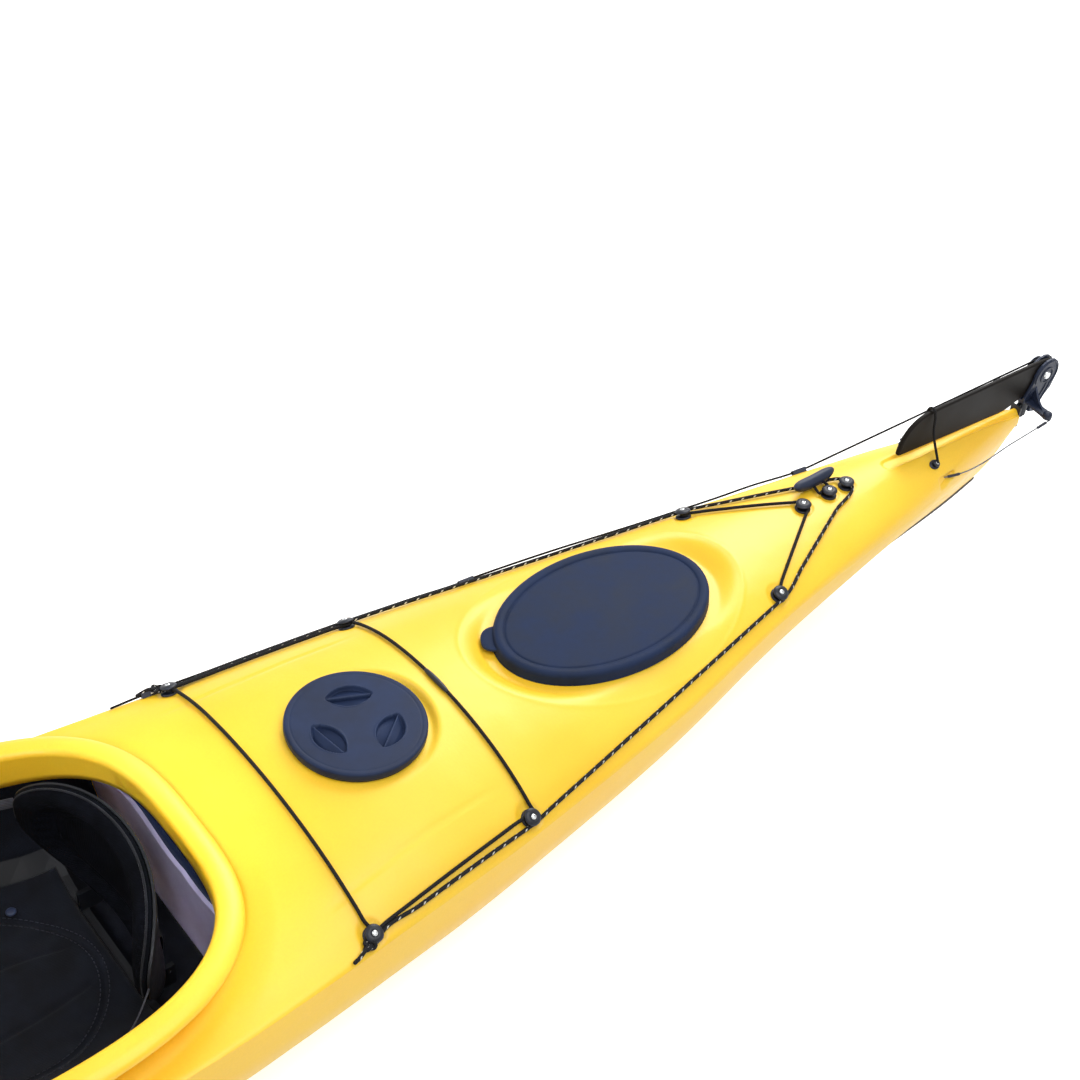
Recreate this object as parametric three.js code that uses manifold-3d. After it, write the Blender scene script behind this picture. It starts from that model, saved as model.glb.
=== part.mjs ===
// Touring sea kayak with a folding rudder, shown with the rudder stowed on the rear deck.
// Millimetres. +X towards the bow, +Y to port, +Z up, origin under the middle of the whole boat.
import * as THREE from "three";
import { mergeVertices } from "three/addons/utils/BufferGeometryUtils.js";
import Module from "manifold-3d";

const wasm = await Module();
wasm.setup();

// Driving sizes of the moulding
const bowReach = 2351;
const sternReach = 2265;
const halfBeam = 310;
const sheerHeight = 200;
const deckHeight = 340;
const wall = 6;
const seamGap = 0.3;
const fitGap = 0.3;
const overrun = 60;
const sternSolid = 115;
const bowSolid = 81;
const hullStations = 28;
const innerStations = 18;
const stationCrowdShare = 0.085;

// Places along the boat are shares of the reach on their side of the middle
const aft = (share) => -share * sternReach;
const fore = (share) => share * bowReach;

// Rows of the lines plan, as shares of the reaches, of the half beam and of the two heights:
// place along the boat, half breadth, parting line, deck ridge, keel, how far the section is V shaped
const linesShares = [
  [-1.000, 0.045, 0.950, 0.6590, 0.820, 1.00], [-0.980, 0.070, 0.900, 0.6669, 0.520, 1.00],
  [-0.936, 0.135, 0.870, 0.6838, 0.330, 1.00], [-0.883, 0.215, 0.900, 0.7041, 0.235, 1.00],
  [-0.854, 0.258, 0.915, 0.7140, 0.210, 0.95], [-0.795, 0.330, 0.960, 0.7180, 0.165, 0.75],
  [-0.689, 0.462, 0.990, 0.7160, 0.100, 0.45], [-0.566, 0.645, 0.930, 0.7330, 0.050, 0.20],
  [-0.424, 0.806, 0.920, 0.7900, 0.015, 0.06], [-0.365, 0.858, 0.930, 0.8120, 0.005, 0.00],
  [-0.320, 0.893, 0.940, 0.7900, 0.000, 0.00], [-0.283, 0.923, 0.950, 0.7480, 0.000, 0.00],
  [-0.247, 0.950, 0.965, 0.7150, 0.000, 0.00], [-0.190, 0.984, 0.990, 0.6950, 0.000, 0.00],
  [-0.066, 1.000, 1.020, 0.7450, 0.000, 0.00], [0.063, 0.994, 1.050, 0.8700, 0.000, 0.00],
  [0.168, 0.952, 1.080, 0.9650, 0.000, 0.00], [0.294, 0.845, 1.120, 0.9800, 0.000, 0.04],
  [0.461, 0.661, 1.190, 0.9550, 0.010, 0.15], [0.629, 0.458, 1.280, 0.9350, 0.060, 0.40],
  [0.797, 0.265, 1.380, 0.9300, 0.190, 0.75], [0.901, 0.148, 1.460, 0.9440, 0.380, 1.00],
  [0.964, 0.077, 1.520, 0.9640, 0.700, 1.00], [0.990, 0.045, 1.540, 0.9750, 1.000, 1.00],
  [1.000, 0.022, 1.560, 0.9800, 1.250, 1.00],
];
// Half sections, each point a share of the half breadth and of the height from keel to parting line,
// or from parting line to ridge
const hullMidShares = [
  [0, 0], [0.22, 0], [0.5, 0.035], [0.74, 0.13],
  [0.91, 0.33], [0.985, 0.6], [1, 0.82], [1, 1],
];
const hullEndShares = [
  [0, 0], [0.08, 0.02], [0.3, 0.16], [0.52, 0.36],
  [0.72, 0.58], [0.87, 0.78], [0.96, 0.9], [1, 1],
];
const deckMidShares = [
  [1, 0], [0.985, 0.08], [0.94, 0.17], [0.82, 0.42],
  [0.64, 0.68], [0.42, 0.87], [0.2, 0.97], [0, 1],
];
const deckEndShares = [
  [1, 0], [0.985, 0.2], [0.93, 0.4], [0.8, 0.6],
  [0.6, 0.77], [0.42, 0.88], [0.25, 0.96], [0, 1],
];

// Cockpit
const rim = {
  rearX: -531, frontX: 330, widestX: -125, halfWidth: 256,
  rearPower: 3.3, frontPower: 2.1, rearZ: 265, frontRise: 85,
  rollWidth: 38, neckIn: 1, neckOut: 9, lipDrop: 17, hang: 10, inset: 2, steps: 36,
};
// Hatches: half sizes of the cover, place, lean along the boat and seat height on the centre line
const oval = {
  coverX: 193, coverY: 124, skirtWall: 5, coverRise: 22, topWall: 4, edgeRound: 7,
  pocketGap: 9, tabGap: 27, panWall: 5, lipIn: 20, lipWall: 4, flangeThick: 3, holeGap: 0.4, neckDrop: 12,
  flangeIn: 1, hookOut: 2, hookHigh: 3, trimGap: 0.05, grooveIn: 30, grooveHalf: 4, grooveDeep: 1.6,
  footRise: 4, footOut: 1,
};
const ovalSides = 20;
const fieldShare = 0.75;
const tab = { angle: -0.36, long: 16, root: 16, half: 20, tipHalf: 7, thick: 5, low: 3, out: 2 };
const tabShares = [[-1, -1], [0.6, -0.86], [1, -1], [1, 1], [0.6, 0.86], [-1, 1]];
const hatchShares = { stern: 0.56645, bow: 0.44237, day: 0.36468 };
const sternHatch = { x: aft(hatchShares.stern), seatZ: 232, lean: 0.030 };
const bowHatch = { x: fore(hatchShares.bow), seatZ: 305, lean: -0.030 };
const dayHatch = {
  x: aft(hatchShares.day), seatZ: 264, lean: 0.054, cover: 102, pocketGap: 10, coverRise: 17, topWall: 5,
  neck: 80, neckWall: 4, holeGap: 1.6, flange: 99, flangeThick: 4, rimRise: 9, neckDrop: 12, plugDrop: 6,
  plugGap: 0.8, plugWall: 4, edgeLow: 1.5, edgeFoot: 1, edgeRound: 1.6, sealIn: 86, sealOut: 92,
  grips: 3, gripTurn: 0.14, gripPlace: 53, gripLong: 27, gripWide: 14, gripDeep: 13, gripLift: 1.5,
  gripWall: 3, skin: 1, sides: 24,
};

// Deck fittings and line guides: name, share of the reach along the boat, share of the half beam across
const fitting = {
  base: 13, baseHigh: 3.5, neck: 5, neckHigh: 7, cap: 11.5, capHigh: 4, capRound: 1.5, capFlat: 2,
  capDish: 0.6, recess: 2.5, recessGap: 3,
};
const fittingShares = {
  deck_fitting_port_front: [-0.29757, 0.85484], deck_fitting_port_middle: [-0.42539, 0.74387],
  deck_fitting_port_rear: [-0.68653, 0.37], deck_fitting_centre: [-0.75762, 0],
  deck_fitting_toggle_front: [-0.78455, 0], deck_fitting_toggle_rear: [-0.80265, 0],
  deck_fitting_starboard_rear: [-0.68653, -0.37], deck_fitting_starboard_middle: [-0.42539, -0.74387],
  deck_fitting_starboard_front: [-0.29757, -0.85484], deck_fitting_bow: [0.83369, 0],
};
const guide = { long: 26, wide: 9, high: 8, bore: 3, sink: 4, mouthGap: 2 };
const guideBoreShare = 0.55;
const guideShares = {
  line_guide_front: [-0.28698, -0.90323], line_guide_middle: [-0.52097, -0.68065],
  line_guide_rear: [-0.79735, -0.3],
};
const placesOf = (shares) => Object.fromEntries(Object.entries(shares).map(
  ([name, [along, across]]) => [name, [along < 0 ? aft(-along) : fore(along), across * halfBeam]]));
const fittingPlaces = placesOf(fittingShares);
const guidePlaces = placesOf(guideShares);

// Lines
const lineRadius = 2.6;
const bungeeRadius = 2.6;
const haulRadius = 1.7;
const cableRadius = 1.2;
const lineSides = 8;
const cordSides = 6;
const lineLift = 2.6;
const lineRoom = 1.9;
const lineStep = 42;
const perimeterStep = 85;
const bungeeEnd = { across: -12, high: 7 };
const haul = {
  tail: 46, tailOut: 2, tailRise: 1, frontSteps: 7, rearSteps: 8, step: 60, drumAhead: 4, drumRise: 1,
};
const gunwaleShare = 0.99;

// Rudder, in a frame of its own at the foot of the pintle, leaning aft by its tilt
const rudderBehind = 20;
const rudder = {
  footX: -sternReach - rudderBehind, footZ: 225, tilt: 0.0577, hubX: -30, hubZ: 52, hubRadius: 30,
  bladeLength: 351, bladeTop: 83, bladeThick: 9, bladeRise: 0.8, tipTopX: 322, tipTopZ: 73,
  cheekGap: 1, cheekThick: 4.5, cheekRadius: 33, boltRadius: 4, boltHead: 8, boltHeadHigh: 3, runGap: 0.4,
  drumRadius: 22, drumWide: 11, drumGroove: 5, drumFlange: 1.8, drumSlope: 1, drumGap: 1,
  plateZ: 2, plateThick: 5,
  armSpan: 60, armWide: 11, hornRadius: 6, hornHigh: 9, hornX: 7, hornIn: 1, yokeHub: 12, yokeHubHigh: 7,
  shieldDrop: 28, shieldX: -12, shieldToe: 4, bladeBevel: 1.5, headBevel: 1, boltChamfer: 1.5,
};
// Blade outline from the tip: shares of its length and of its height at the tip or at the root
const bladeTipShares = [[0.985, 0.13], [0.972, 0.4], [0.95, 0.72]];
const bladeTopShares = [[0.82, 0.94], [0.6, 0.965], [0.2, 1], [0.03, 1.006]];
const bladeFootShares = [[0.0855, 0.13], [0.1766, 0.0096]];
const bladeRootTurns = [0.5, 1.62];
const cheekTurns = [-0.06, 1.1];
// Outlines of the rudder head in shares of the hub's radius: the first is taken from the hub's middle
// and the rest from the foot of the pintle
const cheekBackShares = [-0.867, -1.133];
const shieldShares = [[-1.333, -0.067], [-0.9, -0.933]];
const cheekFrontShares = [[0.467, 0.067], [0.533, 0.467]];
const bladeSlotShares = [[-5.33, 0.32], [5.33, 0.32], [5.33, 6.67], [-5.33, 6.67]];
const bladeSweepShares = [[-2, 0.323], [-0.583, 0.323], [-0.75, -0.267], [-1.05, -1.333], [-3, -1.333]];
// Arm outline: shares of its width along and across, and of its span across
const armShares = [[-0.73, 1, 0], [0.82, 1, 0], [1.45, 0, 1], [0.45, 0.64, 1], [-0.45, -0.18, 1]];
const pintle = { radius: 4, top: 8.7, bottom: -33, nutRadius: 6.5, nutHigh: 4 };
const bracket = {
  barrel: 9.5, top: 1, bottom: -28, plateThick: 4, plateHalf: 11, plateLow: -46, plateHigh: -4, webThick: 7,
  webTop: 3, webLow: 2, webFoot: 1, webPlateLow: 3, webPlateHigh: 1,
};
const groove = { ahead: 12, halfWidth: 13, depth: 9, underGap: 4, easeLong: 60, runIn: 40, lift: 2 };
groove.startX = rudder.footX + rudder.bladeLength + groove.ahead;
const grooveShares = [[-1, 0.35], [-0.5, 0], [0.5, 0], [1, 0.35]];
const holdDown = {
  at: 281, portY: 36, starboardY: -36, ball: 6, stem: 3.5, foot: 8, footHigh: 2, rise: 5,
  stemFoot: 1, stemTop: 1.4, ballLow: 2.4, shoulder: 1, crown: 0.6, seatLift: 0.5, endLift: 0.9,
  topDrop: 3, cordBack: 4, cordBackTop: 6,
  sideOut: 8, sideDrop: 36, edgeOut: 1.4, edgeDrop: 6, edgeIn: 1.6, edgeRise: 1.7, crownRise: 2,
};
holdDown.x = rudder.footX + holdDown.at;
const ballShares = [0.8, 0.9, 0.6];
const cableExit = { fromStern: 243, z: 203, long: 46, high: 15 };
cableExit.x = -sternReach + cableExit.fromStern;
const cable = {
  mouthAhead: 20.8, mouthOut: 0.4, mouthDrop: 2.8, outBack: 21, outSide: 2.5, outRise: 1, clipDrop: 3,
  hornAhead: 7.6, hornOut: 6.5, hornDrop: 1.8,
};
const clipShare = 0.62;

// Cockpit fittings
const bulkhead = { thick: 8, bowGap: 15 };
const bulkheadShares = { seat: 0.264, day: 0.583 };
const skid = { fromStern: 30, long: 475, thick: 3.5, wrap: 16, room: 26, steps: 12 };
const seat = {
  rearX: -432, frontX: -50, halfWidth: 196, panZ: 46, sideRise: 62, hipRise: 40, thick: 5,
  padThick: 26, padHalfWidth: 172, padInset: 12, crown: 5, skidY: 95, skidWide: 24, skidInset: 30,
  earY: 88, earWide: 7, earReach: 9, earLong: 51, earFootZ: 64, boreGap: 0.4, rearRise: 16, frontRise: 12,
  padSunk: 3, padLift: 2,
};
// Where the seat swells and narrows, in shares of its length from the rear
const seatShares = {
  hip: 0.55, hipSpread: 0.22, rearRun: 0.2, frontFrom: 0.75, frontRun: 0.25,
  rearNarrow: 0.1, rearTaper: 0.35, frontNarrow: 0.06, taperFrom: 0.6, frontTaper: 0.4,
};
const back = {
  radius: 255, centreX: -474, spread: 0.82, lowZ: 106, highZ: 302, wingLift: 62, wingDrop: 26,
  shellThick: 5, padThick: 24, rimSwell: 8, hingeX: -462, hingeZ: 94, pinRadius: 3.6, lugWide: 22, lugY: 72,
  lugLong: 14, lugHigh: 18, lugLift: 2, riserLong: 8, riserHigh: 34, riserBack: 6, pinOut: 4, pinSpare: 14,
  padGap: 0.8, padSunk: 1.5,
};
// Padded face of the backrest, in shares of its half size: margin, rolled rim, dish, and the least thickness
const backShares = {
  margin: 0.02, rollFrom: 0.72, rollRun: 0.28, dishFrom: 0.86, dishRun: 0.35, least: 0.12,
};
const backStrap = {
  radius: 3.5, startGap: 1.4, anchorX: -262, anchorY: 250.6, anchorZ: 219, sagOut: 8, sagDrop: 12,
};
const strapHeightShare = 0.55;
const rail = {
  fromX: 262, toX: 622, z: 122, high: 22, deep: 9, slot: 9, slotEnd: 12, lip: 3,
  bossLong: 30, bossSunk: 1, inFrom: 16,
};
const pedal = {
  padHigh: 112, padWide: 68, padThick: 9, at: 470, padDrop: 22, runnerLong: 60, runnerGap: 1, runnerOut: 0.7,
  lean: 0.2, armHigh: 26, inner: 1.2, keeperThick: 5, padOut: 3, ribLong: 34, ribThick: 4, ribAhead: 14,
  bridgeThick: 3, bridgeIn: 0.6,
};
const tube = {
  radius: 4, startX: 232, inFrom: 16, below: 26, gap: 0.5, mouthIn: 16, mouthAhead: 22, mouthDrop: 3,
  sinkLong: 500, leadLong: 190, steps: 14,
};
const tubeLeadShares = [0.4, 0.75, 1];

// Carry toggles
const toggle = {
  radius: 10.5, waist: 8.5, length: 92, lift: 17, cordRadius: 2.6, ahead: 8, aside: 31,
  cordBack: 5, cordIn: 2, cordRise: 1, besideReach: 8, clearAhead: 15, clearAside: 18,
};
// Half of the grip's profile: shares of its half length and of its radius
const toggleShares = [[1, 0], [1, 0.6], [0.86, 1], [0.6, 1]];

const finish = {
  shell: { color: 0xf7c70e, roughness: 0.42, metalness: 0 },
  rubber: { color: 0x23252b, roughness: 0.62, metalness: 0 },
  plastic: { color: 0x1b1c20, roughness: 0.45, metalness: 0 },
  fabric: { color: 0x16181c, roughness: 0.9, metalness: 0 },
  cord: { color: 0x121316, roughness: 0.85, metalness: 0 },
  steel: { color: 0xb9bcc0, roughness: 0.3, metalness: 0.9 },
  blade: { color: 0x202022, roughness: 0.5, metalness: 0.3 },
  panel: { color: 0x7d7a92, roughness: 0.7, metalness: 0 },
  wear: { color: 0x4a4742, roughness: 0.7, metalness: 0 },
};

// Small helpers
const up = new THREE.Vector3(0, 0, 1);
const vec = (x, y, z) => new THREE.Vector3(x, y, z);
const mix = (a, b, t) => a + (b - a) * t;
const clamp01 = (t) => Math.min(1, Math.max(0, t));
const ease = (t) => clamp01(t) ** 2 * (3 - 2 * clamp01(t));

// A closed mesh as a solid for cuts and joins
function solid(geometry) {
  const bare = geometry.clone();
  for (const name of Object.keys(bare.attributes)) {
    if (name !== "position") bare.deleteAttribute(name);
  }
  const merged = mergeVertices(bare, 1e-4);
  return new wasm.Manifold(new wasm.Mesh({
    numProp: 3,
    vertProperties: new Float32Array(merged.attributes.position.array),
    triVerts: new Uint32Array(merged.index.array),
  }));
}

function geometryOf(body) {
  const mesh = body.getMesh();
  const geometry = new THREE.BufferGeometry();
  geometry.setAttribute("position", new THREE.BufferAttribute(new Float32Array(mesh.vertProperties), 3));
  geometry.setIndex(new THREE.BufferAttribute(new Uint32Array(mesh.triVerts), 1));
  return geometry;
}

// A closed body from rings of equal point counts. The first and the last ring are covered by a fan,
// or by a strip between the two halves of the ring, or by nothing where the rings form a loop.
function loft(rings, ends = "fan") {
  const count = rings[0].length;
  const points = [];
  const faces = [];
  for (const ring of rings) for (const p of ring) points.push(p.x, p.y, p.z);
  const last = ends === "loop" ? rings.length : rings.length - 1;
  for (let i = 0; i < last; i += 1) {
    const here = i * count;
    const next = ((i + 1) % rings.length) * count;
    for (let j = 0; j < count; j += 1) {
      const k = (j + 1) % count;
      faces.push(here + j, next + j, next + k, here + j, next + k, here + k);
    }
  }
  if (ends !== "loop") {
    coverEnd(rings[0], 0, ends, false, points, faces);
    coverEnd(rings[rings.length - 1], (rings.length - 1) * count, ends, true, points, faces);
  }
  return outward(points, faces);
}

function coverEnd(ring, start, ends, flip, points, faces) {
  const count = ring.length;
  const place = (a, b, c) => (flip ? faces.push(a, c, b) : faces.push(a, b, c));
  if (ends === "strip") {
    for (let j = 0; j < count / 2 - 1; j += 1) {
      const across = count - 1 - j;
      place(start + j, start + j + 1, start + across);
      place(start + j + 1, start + across - 1, start + across);
    }
    return;
  }
  const middle = new THREE.Vector3();
  for (const p of ring) middle.addScaledVector(p, 1 / count);
  const hub = points.length / 3;
  points.push(middle.x, middle.y, middle.z);
  for (let j = 0; j < count; j += 1) place(hub, start + j, start + (j + 1) % count);
}

// Turns the faces round when the body they enclose has a negative volume
function outward(points, faces) {
  let volume = 0;
  const at = (i) => vec(points[3 * i], points[3 * i + 1], points[3 * i + 2]);
  for (let i = 0; i < faces.length; i += 3) {
    volume += at(faces[i]).dot(at(faces[i + 1]).cross(at(faces[i + 2])));
  }
  if (volume < 0) {
    for (let i = 0; i < faces.length; i += 3) [faces[i + 1], faces[i + 2]] = [faces[i + 2], faces[i + 1]];
  }
  const geometry = new THREE.BufferGeometry();
  geometry.setAttribute("position", new THREE.BufferAttribute(new Float32Array(points), 3));
  geometry.setIndex(faces);
  return geometry;
}

// A sheet between two functions of shares u and v, each giving a point
function sheet(uCount, vCount, top, bottom) {
  const rings = [];
  for (let i = 0; i <= uCount; i += 1) {
    const ring = [];
    for (let j = 0; j <= vCount; j += 1) ring.push(top(i / uCount, j / vCount));
    for (let j = vCount; j >= 0; j -= 1) ring.push(bottom(i / uCount, j / vCount));
    rings.push(ring);
  }
  return loft(rings, "strip");
}

// A curve that passes its points one by one, so that an extruded tube has a ring at each of them
class Route extends THREE.Curve {
  constructor(points) {
    super();
    this.points = points;
  }

  getPoint(t) {
    const place = clamp01(t) * (this.points.length - 1);
    const from = Math.min(Math.floor(place), this.points.length - 2);
    return this.points[from].clone().lerp(this.points[from + 1], place - from);
  }

  getPointAt(u) {
    return this.getPoint(u);
  }

  getTangentAt(u) {
    const here = Math.round(u * (this.points.length - 1));
    const before = this.points[Math.max(0, here - 1)];
    const after = this.points[Math.min(this.points.length - 1, here + 1)];
    return after.clone().sub(before).normalize();
  }
}

function roundTube(points, radius, sides = lineSides) {
  const section = new THREE.Shape();
  for (let i = 0; i < sides; i += 1) {
    const angle = 2 * Math.PI * i / sides;
    const x = radius * Math.cos(angle);
    const y = radius * Math.sin(angle);
    if (i === 0) section.moveTo(x, y);
    else section.lineTo(x, y);
  }
  section.closePath();
  const settings = { steps: points.length - 1, bevelEnabled: false, extrudePath: new Route(points) };
  return new THREE.ExtrudeGeometry(section, settings);
}

// A flat outline in the XZ plane given a thickness along Y, centred on the plane
function plateXZ(outline, thickness, bevel = 0) {
  const shape = new THREE.Shape(outline.map(([x, z]) => new THREE.Vector2(x, z)));
  const settings = {
    depth: thickness - 2 * bevel, bevelEnabled: bevel > 0, bevelSize: bevel,
    bevelOffset: -bevel, bevelThickness: bevel, bevelSegments: 1, steps: 1,
  };
  const geometry = new THREE.ExtrudeGeometry(shape, settings);
  geometry.translate(0, 0, -(thickness - 2 * bevel) / 2);
  geometry.rotateX(Math.PI / 2);
  return geometry;
}

function plateXY(outline, thickness) {
  const shape = new THREE.Shape(outline.map(([x, y]) => new THREE.Vector2(x, y)));
  return new THREE.ExtrudeGeometry(shape, { depth: thickness, bevelEnabled: false, steps: 1 });
}

function cylinderAlong(axis, radius, length, sides = 20) {
  const geometry = new THREE.CylinderGeometry(radius, radius, length, sides);
  if (axis === "x") geometry.rotateZ(Math.PI / 2);
  if (axis === "z") geometry.rotateX(Math.PI / 2);
  return geometry;
}

// A turned piece about +Z from a profile of radius and height
function turned(profile, sides = 20) {
  const geometry = new THREE.LatheGeometry(profile.map(([r, z]) => new THREE.Vector2(r, z)), sides);
  geometry.rotateX(Math.PI / 2);
  return geometry;
}

const group = new THREE.Group();

function addPiece(name, shape, look, parent = group) {
  const geometry = shape.isBufferGeometry ? shape : geometryOf(shape);
  const mesh = new THREE.Mesh(geometry, new THREE.MeshStandardMaterial(finish[look]));
  mesh.name = name;
  parent.add(mesh);
  return mesh;
}

// The lines plan, read at any place along the boat with a smooth curve through its rows
function planAt(share, column) {
  const rows = linesShares;
  let i = 0;
  while (i < rows.length - 2 && share > rows[i + 1][0]) i += 1;
  const slope = (k) => {
    if (k === 0 || k === rows.length - 1) return null;
    return (rows[k + 1][column] - rows[k - 1][column]) / (rows[k + 1][0] - rows[k - 1][0]);
  };
  const width = rows[i + 1][0] - rows[i][0];
  const rise = (rows[i + 1][column] - rows[i][column]) / width;
  const start = slope(i) ?? rise;
  const end = slope(i + 1) ?? rise;
  const t = clamp01((share - rows[i][0]) / width);
  const square = t * t;
  const cube = square * t;
  return rows[i][column] * (2 * cube - 3 * square + 1) + rows[i + 1][column] * (3 * square - 2 * cube)
    + width * (start * (cube - 2 * square + t) + end * (cube - square));
}

function shareOf(x) {
  return x < 0 ? x / sternReach : x / bowReach;
}

function section(x) {
  const share = shareOf(x);
  return {
    x,
    half: planAt(share, 1) * halfBeam,
    sheer: planAt(share, 2) * sheerHeight,
    ridge: planAt(share, 3) * deckHeight,
    keel: planAt(share, 4) * sheerHeight,
    ends: clamp01(planAt(share, 5)),
  };
}

// Half sections from keel to parting line and from parting line to ridge
function halfSection(mid, end, amount) {
  return mid.map(([y, z], i) => [mix(y, end[i][0], amount), mix(z, end[i][1], amount)]);
}

function hullHalf(s, inset = 0) {
  const half = Math.max(s.half - inset, 1);
  const keel = s.keel + inset;
  return halfSection(hullMidShares, hullEndShares, s.ends)
    .map(([y, z]) => [y * half, mix(keel, s.sheer, z)]);
}

function deckHalf(s, inset = 0) {
  const half = Math.max(s.half - inset, 1);
  return halfSection(deckMidShares, deckEndShares, s.ends)
    .map(([y, z]) => [y * half, mix(s.sheer, s.ridge - inset, z)]);
}

function deckZ(x, y) {
  const half = deckHalf(section(x));
  const across = Math.abs(y);
  for (let i = 0; i < half.length - 1; i += 1) {
    const [outer, low] = half[i];
    const [inner, high] = half[i + 1];
    if (across <= outer && across >= inner) return mix(low, high, (outer - across) / (outer - inner));
  }
  return half[0][1];
}

function hullY(x, z) {
  const half = hullHalf(section(x));
  for (let i = 0; i < half.length - 1; i += 1) {
    const [near, low] = half[i];
    const [far, high] = half[i + 1];
    if (z <= high && z >= low) return mix(near, far, (z - low) / (high - low || 1));
  }
  return half[half.length - 1][0];
}

function deckNormal(x, y) {
  const reach = 6;
  const alongX = (deckZ(x + reach, y) - deckZ(x - reach, y)) / (2 * reach);
  const alongY = (deckZ(x, y + reach) - deckZ(x, y - reach)) / (2 * reach);
  return vec(-alongX, -alongY, 1).normalize();
}

// Stations crowd towards the two ends
function stationPlaces(from, to, count = hullStations) {
  const places = [];
  for (let i = 0; i <= count; i += 1) {
    const t = i / count;
    places.push(mix(from, to, t - stationCrowdShare * Math.sin(4 * Math.PI * t) / Math.PI));
  }
  return places;
}

// The inside of the moulding is drawn with fewer stations and points than the outside
const thinned = (half, inset) => (inset > 0 ? half.filter((point, i) => i === 0 || i % 2 === 1) : half);
const countFor = (inset) => (inset > 0 ? innerStations : hullStations);
const mirrored = (half) => [...half.map(([y, z]) => [-y, z]).reverse(), ...half.slice(1)];

// Solid of one half of the moulding: the hull below the parting line or the deck above it
function hullSolid(from, to, inset, topOverrun) {
  return solid(loft(stationPlaces(from, to, countFor(inset)).map((x) => {
    const s = section(x);
    const ring = mirrored(thinned(hullHalf(s, inset), inset));
    const edge = ring[ring.length - 1];
    const rise = topOverrun > 0 ? [[edge[0], edge[1] + topOverrun], [-edge[0], edge[1] + topOverrun]] : [];
    return [...ring, ...rise].map(([y, z]) => vec(x, y, z));
  })));
}

function deckSolid(from, to, inset, dropped, bottomOverrun) {
  return solid(loft(stationPlaces(from, to, countFor(inset)).map((x) => {
    const s = section(x);
    s.ridge -= dropped(x);
    const half = thinned(deckHalf(s, inset), inset);
    const ring = [...half, ...half.slice(0, -1).map(([y, z]) => [-y, z]).reverse()];
    const base = bottomOverrun > 0
      ? [[-ring[0][0], ring[0][1] - bottomOverrun], [ring[0][0], ring[0][1] - bottomOverrun]] : [];
    return [...ring, ...base].map(([y, z]) => vec(x, y, z));
  })));
}

const cavityFrom = -sternReach + sternSolid;
const cavityTo = bowReach - bowSolid;
const grooveDrop = (x) => (groove.depth + groove.underGap) * ease((groove.startX - x) / groove.easeLong + 1);

// The space inside the moulding, drawn in by a further gap
function cavity(gap) {
  const inset = wall + gap;
  const lower = hullSolid(cavityFrom + gap, cavityTo - gap, inset, 0);
  const upper = deckSolid(cavityFrom + gap, cavityTo - gap, inset, grooveDrop, 0);
  return lower.add(upper);
}

// Ring of an oval, its half sizes growing by the given offset
function ovalRing(halfX, halfY, offset, z, count) {
  const ring = [];
  for (let i = 0; i < count; i += 1) {
    const angle = 2 * Math.PI * i / count;
    ring.push(vec((halfX + offset) * Math.cos(angle), (halfY + offset) * Math.sin(angle), z));
  }
  return ring;
}

// A body swept round an oval from a closed profile of offset and height
function ovalBand(halfX, halfY, profile, count = ovalSides) {
  return loft(profile.map(([offset, z]) => ovalRing(halfX, halfY, offset, z, count)), "loop");
}

function ovalBlock(halfX, halfY, low, high, count = ovalSides) {
  return loft([ovalRing(halfX, halfY, 0, low, count), ovalRing(halfX, halfY, 0, high, count)]);
}

// Puts a shape made about the origin onto a hatch seat
function onSeat(geometry, hatch) {
  geometry.rotateY(-hatch.lean);
  geometry.translate(hatch.x, 0, hatch.seatZ);
  return geometry;
}

function hatchCuts(hatch, [halfX, halfY], [holeX, holeY], panWall) {
  const block = (x, y, low, high) => solid(onSeat(ovalBlock(x, y, low, high), hatch));
  return {
    pan: block(halfX + panWall, halfY + panWall, -panWall, overrun),
    well: block(halfX, halfY, 0, overrun),
    hole: block(holeX, holeY, -overrun, overrun),
  };
}

const ovalWell = [oval.coverX + oval.tabGap, oval.coverY + oval.pocketGap];
const ovalHole = [oval.coverX - oval.lipIn - oval.lipWall, oval.coverY - oval.lipIn - oval.lipWall];

// The seat of a round deck fitting: its foot point and the way it stands
function fittingSeat(x, y) {
  const normal = deckNormal(x, y);
  const foot = vec(x, y, deckZ(x, y)).addScaledVector(normal, -fitting.recess);
  return { foot, normal, turn: new THREE.Quaternion().setFromUnitVectors(up, normal) };
}

function standOn(geometry, seatPlace) {
  geometry.applyQuaternion(seatPlace.turn);
  geometry.translate(seatPlace.foot.x, seatPlace.foot.y, seatPlace.foot.z);
  return geometry;
}

// Cockpit outline: a flat superellipse at the rear, rounder at the front
function rimEdge(t, offset = 0) {
  const angle = 2 * Math.PI * t;
  const front = Math.cos(angle) > 0;
  const power = front ? rim.frontPower : rim.rearPower;
  const reach = front ? rim.frontX - rim.widestX : rim.widestX - rim.rearX;
  const bend = (value) => Math.sign(value) * Math.abs(value) ** (2 / power);
  const x = rim.widestX + reach * bend(Math.cos(angle));
  const y = rim.halfWidth * bend(Math.sin(angle));
  if (offset === 0) return { x, y };
  const step = 1e-3;
  const a = rimEdge(t - step);
  const b = rimEdge(t + step);
  const length = Math.hypot(b.x - a.x, b.y - a.y);
  return { x: x + offset * (b.y - a.y) / length, y: y - offset * (b.x - a.x) / length };
}

function rimHeight(x) {
  const along = (x - rim.rearX + rim.rollWidth) / (rim.frontX - rim.rearX + 2 * rim.rollWidth);
  return rim.rearZ + rim.frontRise * clamp01(along) ** 2;
}

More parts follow.
